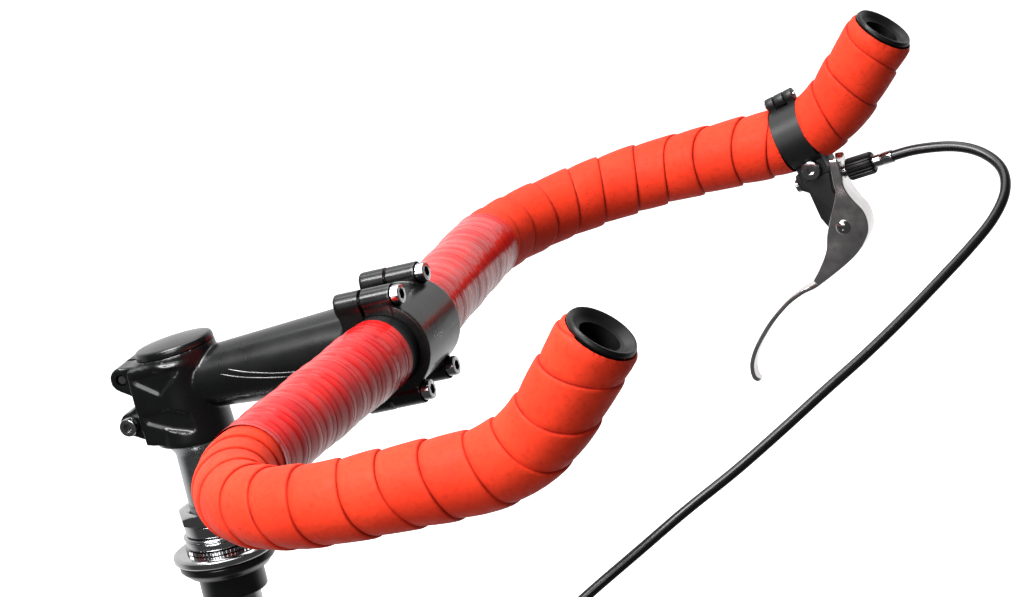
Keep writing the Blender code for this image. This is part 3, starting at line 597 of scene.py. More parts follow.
def lever_clamp_place():
    kick = half_bar(1)[KICK_POINT]
    forward = Vector((0, -math.cos(FORWARD_PITCH), math.sin(FORWARD_PITCH)))
    upward = Vector((0, math.sin(FORWARD_PITCH), math.cos(FORWARD_PITCH)))
    turn = CLAMP_STATION / KICK_RADIUS
    centre = kick + KICK_RADIUS * (math.sin(turn) * forward + (1 - math.cos(turn)) * upward)
    return centre, math.cos(turn) * forward + math.sin(turn) * upward


CLAMP_CENTRE, CLAMP_HEADING = lever_clamp_place()
CLAMP_DOWN = Vector((0, -CLAMP_HEADING.z, CLAMP_HEADING.y))
LEVER_X = CLAMP_CENTRE.x - LEVER_INSET
ADJUSTER_AXIS = Vector((0, -math.cos(ADJUSTER_TILT), math.sin(ADJUSTER_TILT)))
ADJUSTER_FOOT = Vector((LEVER_X, *ADJUSTER_START))
STEM_FORWARD = Vector((0, -math.cos(STEM_PITCH), math.sin(STEM_PITCH)))
STEM_UP = Vector((0, math.sin(STEM_PITCH), math.cos(STEM_PITCH)))
BAR_CENTRE = Vector((0, -REACH, CLAMP_Z))
STEM_TURN = Matrix.Rotation(-STEM_PITCH, 3, "X")


def stem_point(side, forward, up):
    return BAR_CENTRE + Vector((side, 0, 0)) + STEM_FORWARD * forward + STEM_UP * up


def stem_block(name, side, forward, up):
    """A box from ranges of offsets about the bar's centre, in the stem's own directions."""
    low = BAR_CENTRE + Vector((side[0], -forward[1], up[0]))
    high = BAR_CENTRE + Vector((side[1], -forward[0], up[1]))
    return block(name, low, high, STEM_TURN, BAR_CENTRE)


def clamp_point(side, forward, down):
    return CLAMP_CENTRE + Vector((side, 0, 0)) + CLAMP_HEADING * forward + CLAMP_DOWN * down


def clamp_block(name, side, forward, down):
    low = CLAMP_CENTRE + Vector((side[0], -forward[1], -down[1]))
    high = CLAMP_CENTRE + Vector((side[1], -forward[0], -down[0]))
    turn = Matrix.Rotation(-math.atan2(CLAMP_HEADING.z, -CLAMP_HEADING.y), 3, "X")
    return block(name, low, high, turn, CLAMP_CENTRE)


def along_adjuster(distance):
    return ADJUSTER_FOOT + ADJUSTER_AXIS * distance


# ---------------------------------------------------------------- camera, light, floor


def camera():
    data = bpy.data.cameras.new("camera")
    data.lens = CAMERA_LENS
    data.sensor_width = 36
    made = bpy.data.objects.new("camera", data)
    forward, up = Vector(CAMERA_FORWARD), Vector(CAMERA_UP)
    right = forward.cross(up)
    turn = Matrix((right, up, -forward)).transposed().to_4x4()
    made.matrix_world = Matrix.Translation(CAMERA_PLACE) @ turn
    bpy.context.scene.collection.objects.link(made)
    bpy.context.scene.camera = made


def area_light(name, place, target, size, power):
    data = bpy.data.lights.new(name, "AREA")
    data.shape = "RECTANGLE"
    data.size, data.size_y = size
    data.energy = power
    made = bpy.data.objects.new(name, data)
    made.location = place
    aim = Vector(target) - Vector(place)
    made.rotation_euler = aim.to_track_quat("-Z", "Y").to_euler()
    bpy.context.scene.collection.objects.link(made)


def backdrop():
    """Plain white to the camera; to the part, a bright side behind it and a dim room before it."""
    world = bpy.data.worlds.new("studio")
    world.use_nodes = True
    nodes, links = world.node_tree.nodes, world.node_tree.links
    towards = nodes.new("ShaderNodeVectorMath")
    towards.operation = "DOT_PRODUCT"
    towards.inputs[1].default_value = BRIGHT_SIDE
    links.new(nodes.new("ShaderNodeTexCoord").outputs["Generated"], towards.inputs[0])
    dimmed = nodes.new("ShaderNodeMapRange")
    dimmed.interpolation_type = "SMOOTHSTEP"
    dimmed.inputs["From Min"].default_value = -0.1
    dimmed.inputs["From Max"].default_value = 0.8
    dimmed.inputs["To Min"].default_value = 0.08
    dimmed.inputs["To Max"].default_value = 1.0
    links.new(towards.outputs["Value"], dimmed.inputs["Value"])
    strongest = nodes.new("ShaderNodeMath")
    strongest.operation = "MAXIMUM"
    links.new(dimmed.outputs["Result"], strongest.inputs[0])
    links.new(nodes.new("ShaderNodeLightPath").outputs["Is Camera Ray"], strongest.inputs[1])
    back = nodes["Background"]
    back.inputs["Color"].default_value = (1.0, 1.0, 1.0, 1.0)
    links.new(strongest.outputs[0], back.inputs["Strength"])
    bpy.context.scene.world = world


def studio():
    reach = 14
    floor_mesh = bpy.data.meshes.new("floor")
    corners = [(x * reach, y * reach, FLOOR_Z) for x, y in ((-1, -1), (1, -1), (1, 1), (-1, 1))]
    floor_mesh.from_pydata(corners, (), ((0, 1, 2, 3),))
    floor = add("floor", floor_mesh, pale_floor(), None)
    floor.visible_glossy = False
    floor.visible_diffuse = False
    area_light("key", (-1.1, 0.40, 1.70), (0.05, -0.15, 0.08), (1.1, 0.9), 62)
    area_light("top", (0.35, 0.10, 2.1), (0.05, -0.15, 0.05), (1.8, 1.8), 34)
    area_light("camera_side", (-1.9, 0.1, 0.7), (0.0, -0.15, 0.08), (0.9, 0.9), 16)
    backdrop()
    bpy.context.scene.view_settings.view_transform = "Standard"


# ---------------------------------------------------------------- bar and tapes


def tube_radius(distance):
    share = np.clip((np.abs(distance) - BULGE_HALF) / (BULGE_END - BULGE_HALF), 0, 1)
    return BULGE_RADIUS + (TUBE_RADIUS - BULGE_RADIUS) * share * share * (3 - 2 * share)


def bare_bar(paint):
    """The bent tube, seen only beside the stem and under the lever's clamp."""
    points = half_bar(-1)[:0:-1] + half_bar(1)
    line = Line(points)
    stations = np.linspace(0.001, line.length - 0.001, 420)
    made = tube("handlebar", paint, line, stations, tube_radius(stations - line.length / 2), 64)
    bore = tube("bore", None, line, np.linspace(0, line.length, 420), np.full(420, TUBE_RADIUS - 0.002), 32)
    cut(made, [bore])
    settle(made, "cockpit", "black_alloy", "handlebar_tube")


def wound(name, paint, line, begin, finish, pitch, profile, radius, hand, sway, columns=120):
    """Tape wound on a line. Rows of the mesh follow the helix, so each overlap is a clean edge.

    profile holds (share of the pitch, rise of the surface, darkness of the seam) points.
    """
    angle = np.linspace(0, 2 * np.pi, columns, endpoint=False)
    count = int((finish - begin) / pitch) + 3
    rows = [(turn + share, rise, dark) for turn in range(-1, count) for share, rise, dark in profile]
    step, rise, dark = (np.array(values) for values in zip(*rows))
    across = step[:, None] - (angle / (2 * np.pi))[None, :]

    def drift(at):
        return sway * (np.sin(angle + 2.1 * at) + 0.6 * np.sin(2 * angle - 1.3 * at + hand))

    distance = begin + pitch * across + drift(across)
    ends = []
    for end in (begin, finish):
        at = np.full(columns, (end - begin) / pitch)
        for _ in range(12):
            at = (end - begin - drift(at)) / pitch
        ends.append(np.interp((at + angle / (2 * np.pi)) % 1.0, *zip(*[(p[0], p[1]) for p in profile])))
    lift = np.repeat(rise[:, None], columns, axis=1)
    lift = np.where(distance < begin, ends[0], np.where(distance > finish, ends[1], lift))
    distance = np.clip(distance, begin, finish)
    swell = 1 + 0.10 * np.sin(angle[None, :] * 2 + distance * 90) + 0.08 * np.sin(distance * 210)
    outer = radius(distance) + lift * swell
    spots = line.surface(distance, hand * np.repeat(angle[None, :], len(rows), axis=0), outer)
    form = bmesh.new()
    shade = form.verts.layers.float.new("seam")
    grid = []
    for row, line_of_spots in enumerate(spots):
        grid.append([form.verts.new(tuple(spot)) for spot in line_of_spots])
        for vertex in grid[-1]:
            vertex[shade] = dark[row]
    turn_rows = len(profile)
    for row in range(turn_rows, len(rows) - 1):
        this, following = grid[row], grid[row + 1]
        for column in range(columns - 1):
            form.faces.new((this[column], this[column + 1], following[column + 1], following[column]))
        wrapped = row - turn_rows
        form.faces.new((this[-1], grid[wrapped][0], grid[wrapped + 1][0], following[-1]))
    bmesh.ops.remove_doubles(form, verts=form.verts, dist=0.000004)
    loose = [v for v in form.verts if not v.link_faces]
    bmesh.ops.delete(form, geom=loose, context="VERTS")
    return from_form(name, form, paint, 50)


# The third column is painted shade at each overlap step, darkest at the seam.
CORK_PROFILE = (
    (0.0, 0.0, 1.0), (0.014, 0.02, 0.7), (0.045, 0.22, 0.15), (0.15, 0.40, 0.0),
    (0.32, 0.62, 0.0), (0.52, 0.80, 0.0), (0.72, 0.94, 0.0), (0.86, 1.0, 0.0),
    (0.94, 0.97, 0.0), (0.975, 0.86, 0.0), (0.992, 0.55, 0.45),
)
FILM_PROFILE = ((0.0, 0.0, 0.7), (0.10, 0.35, 0.15), (0.4, 0.8, 0.0), (0.75, 1.0, 0.0), (0.92, 0.85, 0.15))


def cork_radius(finish, round_end):
    """The tape's radius along the bar, drawn in at a rounded end."""

    def radius(distance):
        near = np.clip((distance - finish) / END_ROUND + 1, 0, 1) if round_end else 0 * distance
        return TAPE_RADIUS - END_DRAWN_IN * (1 - np.sqrt(1 - 0.98 * near * near))

    return radius


def film_radius(distance):
    """The thin tape's radius, with the slow and quick waves of what it covers."""
    return FINISH_RADIUS + 0.00022 * np.sin(distance * 170) + 0.00010 * np.sin(distance * 610)


def clear_of_clamp(made):
    """Slides a tape's edge back from the lever clamp's flat side."""
    reach = CLAMP_HALF + 0.0001
    for vertex in made.data.vertices:
        ahead = (vertex.co - CLAMP_CENTRE).dot(CLAMP_HEADING)
        if (vertex.co - CLAMP_CENTRE).length < 0.025 and abs(ahead) < reach:
            vertex.co += CLAMP_HEADING * (math.copysign(reach, ahead) - ahead)


def tapes(cork_paint, film_paint):
    profile = [(share, rise * TAPE_RISE, dark) for share, rise, dark in CORK_PROFILE]
    film_profile = [(share, rise * FILM_RISE, dark) for share, rise, dark in FILM_PROFILE]
    pieces = (
        ("cork_right", RIGHT, TAPE_START, RIGHT.length, "grip_tape_right", -1),
        ("cork_left", LEFT, TAPE_START, CLAMP_ALONG - CLAMP_HALF, "grip_tape_left", 1),
        ("cork_left_horn", LEFT, CLAMP_ALONG + CLAMP_HALF, LEFT.length, "grip_tape_left_horn", 1),
    )
    for name, line, begin, finish, node, hand in pieces:
        radius = cork_radius(finish, finish == line.length)
        made = wound(name, cork_paint, line, begin, finish, TAPE_PITCH, profile, radius, hand, TAPE_SWAY)
        if line is LEFT:
            clear_of_clamp(made)
        settle(made, "cockpit", "cork_tape", node)
    for name, line, hand in (("right", RIGHT, -1), ("left", LEFT, 1)):
        ends = (FINISH_START, FINISH_END)
        shape = (FINISH_PITCH, film_profile, film_radius, hand, FINISH_SWAY, 96)
        made = wound(f"film_{name}", film_paint, line, *ends, *shape)
        settle(made, "cockpit", "finishing_tape", f"finishing_tape_{name}")


def end_plugs(paint):
    inside = (TUBE_RADIUS - 0.0020) * 0.966 - GAP
    profile = (
        (0, -0.0120), (0.0066, -0.0120), (0.0078, -0.0114), (0.0083, -0.0004),
        (0.0112, 0.0006), (0.0124, 0.0024), (0.0134, 0.0026), (0.0141, 0.0014),
        (0.0140, 0.0004), (0.0134, -0.0002), (inside, 0.0), (inside, -0.0160),
        (inside - 0.0010, -0.0170), (0, -0.0170),
    )
    for name, line in (("left", LEFT), ("right", RIGHT)):
        end, heading = Vector(line.points[-1]), Vector(line.tangents[-1])
        made = turned(f"plug_{name}", paint, profile, 72, end, heading, 50)
        settle(made, "cockpit", "black_plastic", f"end_plug_{name}")


# ---------------------------------------------------------------- stem


def crown():
    """The oval top of the steerer clamp, a little larger than the lid that covers it."""
    form = bmesh.new()
    bmesh.ops.create_cone(form, cap_ends=True, segments=96, radius1=1, radius2=1, depth=CROWN_DEPTH)
    for vertex in form.verts:
        vertex.co.x *= LID_HALF[0] + CROWN_RIM
        vertex.co.y *= LID_HALF[1] + CROWN_RIM
    middle = Matrix.Translation((0, 0, LID_SEAT - CROWN_DEPTH / 2))
    form.transform(middle @ Matrix.Rotation(-LID_TILT, 4, "X"))
    return from_form("crown", form)


STEERER_SLAB = (
    (0.0235, 0.1016), (0.0285, 0.0975), (0.0262, 0.0912), (0.0215, 0.0888), (0.0178, 0.0860),
    (0.0205, 0.0828), (0.0240, 0.0806), (0.0255, 0.0703), (0.0150, 0.0655), (0.0060, 0.0643),
    (0.0, 0.0643), (0.0, 0.1030), (0.0150, 0.1018),
)
STEERER_SHOULDER = (
    (0.0185, 0.1005), (0.0185, 0.0866), (0.0172, 0.0660), (0.0150, 0.0655), (0.0, 0.0643),
    (0.0, 0.1030),
)
UPPER_RELIEF = ((0.0165, 0.0975), (0.0150, 0.0945), (0.0044, 0.0883), (-0.0084, 0.1000), (-0.0020, 0.1000))
LOWER_RELIEF = (
    (0.0150, 0.0800), (0.0144, 0.0760), (0.0033, 0.0719), (-0.0063, 0.0699), (-0.0100, 0.0712),
    (-0.0090, 0.0780), (0.0020, 0.0815),
)


def bar_rod(name, half, radius):
    """A rod along the bar, through the middle of the stem's clamp."""
    return rod(name, stem_point(-half, 0, 0), stem_point(half, 0, 0), radius, 96)


def bolt_boss(side, level, length, radius, web_half, web_length, web_start):
    """A round boss for one faceplate bolt, and the web that joins it to the hoop round the bar."""
    across, up = side * BOLT_SIDE, level * BOLT_HEIGHT
    boss = rod("boss", stem_point(across, length[0], up), stem_point(across, length[1], up), radius)
    rise = sorted((level * web_start, up))
    return [boss, stem_block("web", (across - web_half, across + web_half), web_length, rise)]


def stem(paint):
    """The forged stem, with its relieved steerer clamp, two bolt lobes and four bolt bosses."""
    barrel = (
        (0, 0.1015), (0.0172, 0.1015), (0.0170, 0.0900), (0.0172, 0.0780), (0.0180, 0.0660),
        (0.0180, 0.0640), (0.0176, 0.0632), (0, 0.0632),
    )
    arm_start, arm_end = stem_point(0, ARM_START - REACH, 0), stem_point(0, -ARM_END, 0)
    parts = [
        crown(),
        rod("arm", arm_start, arm_end, ARM_RADIUS, 96, ARM_ROOT_RADIUS),
        bar_rod("hoop", BAR_CLAMP_HALF, BAR_CLAMP_RADIUS),
    ]
    slabs = [
        plate("slab", STEERER_SLAB, -LOBE_HALF, LOBE_HALF),
        plate("shoulder", STEERER_SHOULDER, -SHOULDER_HALF, SHOULDER_HALF),
    ]
    clamp = cut(turned("clamp", None, barrel), slabs, "UNION")
    reliefs = []
    for side in (-1, 1):
        for outline in (UPPER_RELIEF, LOWER_RELIEF):
            reliefs.append(plate("relief", outline, *sorted((side * RELIEF_INNER, side * 0.0250))))
    parts.append(cut(clamp, reliefs))
    for y, z, _ in LOBES:
        parts.append(rod("lobe", (-LOBE_HALF, y, z), (LOBE_HALF, y, z), LOBE_RADIUS))
    for side in (-1, 1):
        for level in (-1, 1):
            length, web_length = (SPLIT - 0.0118, SPLIT + 0.004), (-0.0160, -0.0020)
            parts += bolt_boss(side, level, length, 0.0055, 0.0048, web_length, 0.008)
    made = fused("stem", paint, parts, 0.00055, 9)
    cutters = [
        rod("bore", (0, 0, 0.05), (0, 0, 0.1012), STEERER_RADIUS + GAP, 72),
        bar_rod("bar_bore", 0.03, BULGE_RADIUS + GAP),
        block("slot", (-0.0012, 0.0, 0.05), (0.0012, 0.05, 0.12)),
        stem_block("face", (-0.04, 0.04), (SPLIT, 0.05), (-0.04, 0.04)),
    ]
    for y, z, _ in LOBES:
        cutters.append(rod("lobe_hole", (-0.03, y, z), (0.03, y, z), LOBE_BORE, 32))
    cut(made, cutters)
    settle(made, "cockpit", "black_alloy", "stem_body")


def stem_lid(paint):
    """The smooth oval cover, domed and rounded over at its rim."""
    sides, rings = 96, 14
    turn = Matrix.Translation((0, 0, LID_SEAT + GAP)) @ Matrix.Rotation(-LID_TILT, 4, "X")
    turn = turn @ Matrix.Diagonal((*LID_HALF, 1, 1))
    shape = [(1.0, 0.0), (1.0, 0.0012), (0.992, 0.0021), (0.972, 0.0028), (0.94, LID_WALL)]
    for step in range(1, rings):
        share = 1 - step / rings
        shape.append((0.94 * share, LID_WALL + LID_DOME * (1 - share**2)))
    loops = [[turn @ point for point in circle(share, height, sides)] for share, height in shape]
    settle(lofted("lid", paint, loops, 60), "cockpit", "black_alloy", "stem_lid")


def faceplate(paint):
    parts = [bar_rod("shell", BAR_CLAMP_HALF, BAR_CLAMP_RADIUS)]
    for side in (-1, 1):
        for level in (-1, 1):
            length, web_length = (SPLIT - 0.006, 0.0105), (-0.010, 0.0088)
            parts += bolt_boss(side, level, length, 0.0053, 0.0046, web_length, 0.010)
    made = fused("faceplate", paint, parts, 0.0005, 7)
    cutters = [
        bar_rod("bar_bore", 0.03, BULGE_RADIUS + GAP),
        stem_block("rear", (-0.04, 0.04), (-0.05, SPLIT + 0.0016), (-0.04, 0.04)),
    ]
    for side in (-1, 1):
        for level in (-1, 1):
            seat = stem_point(side * BOLT_SIDE, BOLT_SEAT, level * BOLT_HEIGHT)
            cutters.append(rod("seat", seat, seat + STEM_FORWARD * 0.014, 0.0051, 40))
    cut(made, cutters)
    settle(made, "cockpit", "black_alloy", "faceplate")


def screw(name, paint, node, seat, axis, sizes):
    """A cap screw with a chamfered head and a hexagon socket."""
    head_radius, head_height, shank_radius, length, key = sizes
    axis = Vector(axis).normalized()
    profile = (
        (0, head_height), (head_radius - 0.0006, head_height),
        (head_radius - 0.0002, head_height - 0.00015), (head_radius, head_height - 0.0006),
        (head_radius, GAP + 0.0002), (head_radius - 0.0002, GAP), (shank_radius, GAP),
        (shank_radius, 0.0006 - length), (shank_radius - 0.0006, -length), (0, -length),
    )
    made = turned(name, paint, profile, 48, seat, axis)
    top = Vector(seat) + axis * (head_height + 0.001)
    hexagon = rod("key", top - axis * (0.001 + head_height * 0.65), top, key, 6)
    cut(made, [hexagon], shade=30)
    settle(made, "cockpit", "steel", node)


def stem_screws(paint):
    for side, near in ((-1, "right"), (1, "left")):
        for level, height in ((-1, "lower"), (1, "upper")):
            seat = stem_point(side * BOLT_SIDE, BOLT_SEAT, level * BOLT_HEIGHT)
            name = f"{height}_{near}"
            screw(f"screw_{name}", paint, f"faceplate_bolt_{name}", seat, STEM_FORWARD, FACEPLATE_SCREW)
    for (y, z, side), name in zip(LOBES, ("upper", "lower")):
        seat = (-side * LOBE_HALF, y, z)
        screw(f"clamp_screw_{name}", paint, f"{name}_steerer_bolt", seat, (-side, 0, 0), STEERER_SCREW)


def pinstripes(paint):
    """Plain silver lines along the stem's near and far sides."""
    lines = (
        ((-0.030, 0.0050), (-0.040, 0.0020), (-0.055, -0.0010), (-0.072, -0.0025), (-0.088, -0.0020)),
        ((-0.026, 0.0035), (-0.037, 0.0002), (-0.053, -0.0028), (-0.071, -0.0043), (-0.088, -0.0040)),
    )
    for side in (-1, 1):
        for index, stripe in enumerate(lines):
            points = []
            for spot in smooth_line([(y, up, 0) for y, up in stripe], 6):
                share = (-spot.x - ARM_START) / (REACH - ARM_START - ARM_END)
                radius = ARM_RADIUS + (ARM_ROOT_RADIUS - ARM_RADIUS) * share
                out = math.sqrt(max(radius**2 - spot.y**2, 0)) + 0.00002
                middle = BAR_CENTRE + STEM_FORWARD * (-spot.x - REACH)
                points.append(middle + Vector((side * out, 0, 0)) + STEM_UP * spot.y)
            line = Line(points)
            stations = np.linspace(0, line.length, 40)
            radii = STRIPE_RADIUS * np.sqrt(np.clip(1 - (2 * stations / line.length - 1) ** 8, 0.02, 1))
            made = tube(f"stripe_{index}_{'near' if side < 0 else 'far'}", paint, line, stations, radii, 8)
            settle(made, "cockpit", "steel")


# ---------------------------------------------------------------- headset and quill


def headset(black, chrome, satin):
    cup = (
        (0.0212, 0.0068), (0.0220, 0.0060), (0.0220, 0.0036), (0.0212, 0.0026),
        (0.0192, 0.0008), (0.0186, 0.0), (0.0151, 0.0), (0.0151, -0.0105), (0.0146, -0.0110),
        (0.0136, -0.0110), (0.0136, 0.0030), (0.0150, 0.0035), (0.0175, 0.0050),
        (0.0195, 0.0050), (0.0195, 0.0068),
    )
    settle(turned("cup", black, softened(cup)), "headset", "black_steel", "headset_cup")
    race = (
        (0.0165, 0.0112), (0.0222, 0.0112), (0.0238, 0.0103), (0.0238, 0.0081),
        (0.0230, 0.0072), (0.0198, 0.0072), (0.0198, 0.0096), (0.0150, 0.0096),
        (0.0150, 0.0075), (STEEL_BORE, 0.0075), (STEEL_BORE, 0.0112),
    )
    settle(turned("race", chrome, softened(race, 0.0002)), "cockpit", "steel", "adjusting_race")
    for name, node, radius, low, high in (
        ("spacer_low", "lower_spacer", 0.0166, 0.0134, 0.0170),
        ("hanger_washer", "cable_hanger_washer", 0.0171, 0.0173, 0.0189),
        ("spacer_high", "upper_spacer", 0.0156, 0.0192, 0.0249),
    ):
        edge = 0.0005
        ring = ((radius - edge, high), (radius, high - edge), (radius, low + edge), (radius - edge, low))
        ring = softened((*ring, (STEEL_BORE, low), (STEEL_BORE, high)), 0.0002)
        settle(turned(name, chrome, ring), "cockpit", "steel", node)
    locknut(chrome)
    toothed_washer(chrome)
    top, neck, shoulder = 0.0995, 0.0575, 0.0625
    adapter = (
        (STEERER_RADIUS, top), (STEERER_RADIUS, shoulder + 0.0004),
        (0.0140, shoulder - 0.0003), (0.0133, shoulder - 0.0013),
        (QUILL_RADIUS + 0.0003, neck + 0.0006), (QUILL_RADIUS, neck - 0.0010),
        (QUILL_RADIUS, WEDGE_BOTTOM), (0.0088, WEDGE_BOTTOM), (0.0088, 0.050), (0.0046, 0.052),
        (0.0046, EXPANDER_SEAT), (0.0076, EXPANDER_SEAT), (0.0076, top),
    )
    slope = Matrix.Rotation(WEDGE_SLOPE, 3, "X")
    made = turned("quill", satin, adapter, 96)
    foot = (0, 0, QUILL_BOTTOM)
    below = block("below", (-0.03, -0.04, QUILL_BOTTOM - 0.08), (0.03, 0.04, QUILL_BOTTOM), slope, foot)
    cut(made, [below])
    settle(made, "cockpit", "steel", "quill_adapter")
    ring = ((0.0043, -0.06), (0.0109, -0.06), (0.0109, WEDGE_BOTTOM), (0.0043, WEDGE_BOTTOM))
    wedge = turned("wedge", satin, ring)
    seat = QUILL_BOTTOM - 0.0008
    cut(wedge, [block("above", (-0.03, -0.04, seat), (0.03, 0.04, seat + 0.08), slope, (0, 0, seat))])
    settle(wedge, "cockpit", "steel", "expander_wedge")
    screw("expander", chrome, "expander_bolt", (0, 0, EXPANDER_SEAT), (0, 0, 1), EXPANDER_SCREW)


def locknut(paint):
    low, high = 0.0252, 0.0308
    nut = rod("nut", (0, 0, low), (0, 0, high), NUT_FLATS / 2 / math.cos(math.pi / 6), 6, paint=paint)
    rim = NUT_FLATS / 2 + 0.0001
    round_off = (
        (0, high + 0.001), (rim - 0.0006, high + 0.001), (rim - 0.0006, high),
        (rim + 0.0030, high - 0.0018), (rim + 0.0030, low + 0.0014), (rim, low),
        (rim, low - 0.001), (0, low - 0.001),
    )
    cut(nut, [turned("round_off", None, round_off)], "INTERSECT")
    thread = 0.0116
    bore = ((0, 0.04), (0.0135, 0.04), (0.0135, high), (thread, high - 0.0016), (thread, 0.02), (0, 0.02))
    cut(nut, [turned("bore", None, bore)])
    settle(rounded(nut, 0.0002, 2), "cockpit", "steel", "locknut")


def toothed_washer(paint):
    """A thin washer with square teeth: two of every four points on its rim are drawn in."""
    made = rod("washer", (0, 0, 0.0115), (0, 0, 0.0131), 0.0172, TEETH * 4, paint=paint)
    for vertex in made.data.vertices:
        step = round(math.atan2(vertex.co.y, vertex.co.x) / (math.pi / TEETH / 2))
        if step % 4 > 1:
            vertex.co.x *= TOOTH_ROOT
            vertex.co.y *= TOOTH_ROOT
    cut(made, [rod("bore", (0, 0, 0), (0, 0, 0.02), STEEL_BORE, 96)])
    settle(made, "cockpit", "steel", "toothed_washer")


# ---------------------------------------------------------------- lever


def clamp_rod(name, ends, down, radius, sides):
    """A rod along the bar's line under the clamp, at a distance down from it."""
    return rod(name, clamp_point(0, ends[0], down), clamp_point(0, ends[1], down), radius, sides)


def clamp_half(name, paint, side, knuckles, gaps, extra):
    """Half of the lever's clamp, with its lug, its hinge knuckles and any extra solids."""
    hoop = clamp_rod("hoop", (-CLAMP_HALF, CLAMP_HALF), 0, CLAMP_OUTER, 120)
    lug = clamp_block("lug", sorted((0, side * LUG_HALF)), (-CLAMP_HALF, CLAMP_HALF), (0.0090, LUG_END))
    half = rounded(cut(hoop, [lug], "UNION"), 0.0007, 3)
    trims = [clamp_block("other", sorted((-side * 0.05, side * 0.0003)), (-0.03, 0.03), (-0.04, 0.04))]
    for ends in gaps:
        trims.append(clamp_rod("gap", ends, HINGE_UP, KNUCKLE_RADIUS + GAP, 32))
    cut(half, trims)
    for begin, finish in knuckles:
        knuckle = clamp_rod("knuckle", (begin, finish), HINGE_UP, KNUCKLE_RADIUS, 40)
        across = sorted((side * 0.0005, side * 0.0026))
        root = clamp_block("root", across, (begin + GAP, finish - GAP), (HINGE_UP + 0.0003, -0.0142))
        cut(half, [rounded(knuckle, 0.0003, 2), root], "UNION")
    if extra:
        cut(half, extra, "UNION")
    ends = (-0.02, 0.02)
    cut(half, [clamp_rod("bar", ends, 0, CLAMP_INNER, 96), clamp_rod("pin", ends, HINGE_UP, 0.0011, 24)])
    half.name = name
    half.data.materials.clear()
    half.data.materials.append(paint)
    return half


def lever_clamp(black, chrome):
    band = clamp_half("band", black, -1, ((-0.0072, -0.0030), (0.0030, 0.0072)), ((-0.0027, 0.0027),), [])
    settle(band, "cockpit", "black_alloy", "lever_clamp_band")
    outline = (
        (-0.2304, 0.0912), (-0.2303, 0.0878), (-0.2316, 0.0838), (-0.2355, 0.0820),
        (-0.2386, 0.0690), (-0.2425, 0.0625), (-0.2460, 0.0586), (-0.2510, 0.0576),
        (-0.2553, 0.0605), (-0.2558, 0.0660), (-0.2530, 0.0705), (-0.2490, 0.0755),
        (-0.2470, 0.0820), (-0.2474, 0.0900), (-0.2430, 0.0935), (-0.2360, 0.0925),
    )
    half = LEVER_HALF - CHEEK - GAP
    arm = rounded(plate("arm", outline, LEVER_X - half, LEVER_X + half), 0.0006, 3)
    room = clamp_block("room", (-0.05, 0.0005), (-CLAMP_HALF - GAP, 0.03), (-0.04, LUG_END + GAP))
    cut(arm, [room])
    gaps = ((-0.0080, -0.0027), (0.0027, 0.0080))
    outer = clamp_half("bracket", black, 1, ((-0.0024, 0.0024),), gaps, [arm])
    holes = [
        rod("wire_way", along_adjuster(-0.022), along_adjuster(0.004), 0.0012, 20),
        rod("anchor_seat", along_adjuster(-0.030), along_adjuster(-0.0140), 0.0036, 40),
        rod("pivot_hole", (LEVER_X - 0.02, *PIVOT), (LEVER_X + 0.02, *PIVOT), PIVOT_BORE, 32),
    ]
    cut(outer, holes)
    settle(outer, "cockpit", "black_alloy", "lever_bracket")
    head, foot = 0.0080, -0.0080
    shape = ((0, head), (0.0018, head), (0.0018, 0.0074), (0.0009, 0.0074), (0.0009, foot), (0, foot))
    hinge = clamp_point(0, 0, HINGE_UP)
    pin = turned("hinge_pin", chrome, softened(shape, 0.0001), 24, hinge, -CLAMP_HEADING)
    settle(pin, "cockpit", "steel", "clamp_hinge_pin")
    seat = clamp_point(-LUG_HALF, 0, CLAMP_BOLT_DOWN)
    screw("lever_screw", chrome, "lever_clamp_bolt", seat, (-1, 0, 0), LEVER_SCREW)


LEVER_REAR = (
    (-0.2486, 0.0975), (-0.2490, 0.0870), (-0.2485, 0.0800), (-0.2440, 0.0695),
    (-0.2406, 0.0613), (-0.2385, 0.0531), (-0.2337, 0.0451), (-0.2290, 0.0390),
)
LEVER_FRONT = (
    (-0.2530, 0.0975), (-0.2535, 0.0900), (-0.2537, 0.0828), (-0.2566, 0.0762),
    (-0.2605, 0.0700), (-0.2614, 0.0635), (-0.2593, 0.0575), (-0.2514, 0.0489),
    (-0.2405, 0.0418), (-0.2312, 0.0372),
)
BLADE = (
    (-0.2312, 0.0372), (-0.2223, 0.0338), (-0.2139, 0.0291), (-0.2049, 0.0216),
    (-0.1979, 0.0139), (-0.1927, 0.0068), (-0.1895, -0.0002), (-0.1893, -0.0060),
    (-0.1915, -0.0090),
)


def lever_shrink(y, z):
    """How far the cheeks draw in: towards the blade, and a little towards their edges."""
    drop = max(PIVOT[1] - z, 0)
    towards_blade = min(drop / 0.035, 1)
    across = min(abs(y - CHEEK_MIDDLE - CHEEK_SLOPE * drop) / CHEEK_REACH, 1)
    return 0.18 * towards_blade**2 + 0.07 * across**2 * (z < CHEEK_TOP)


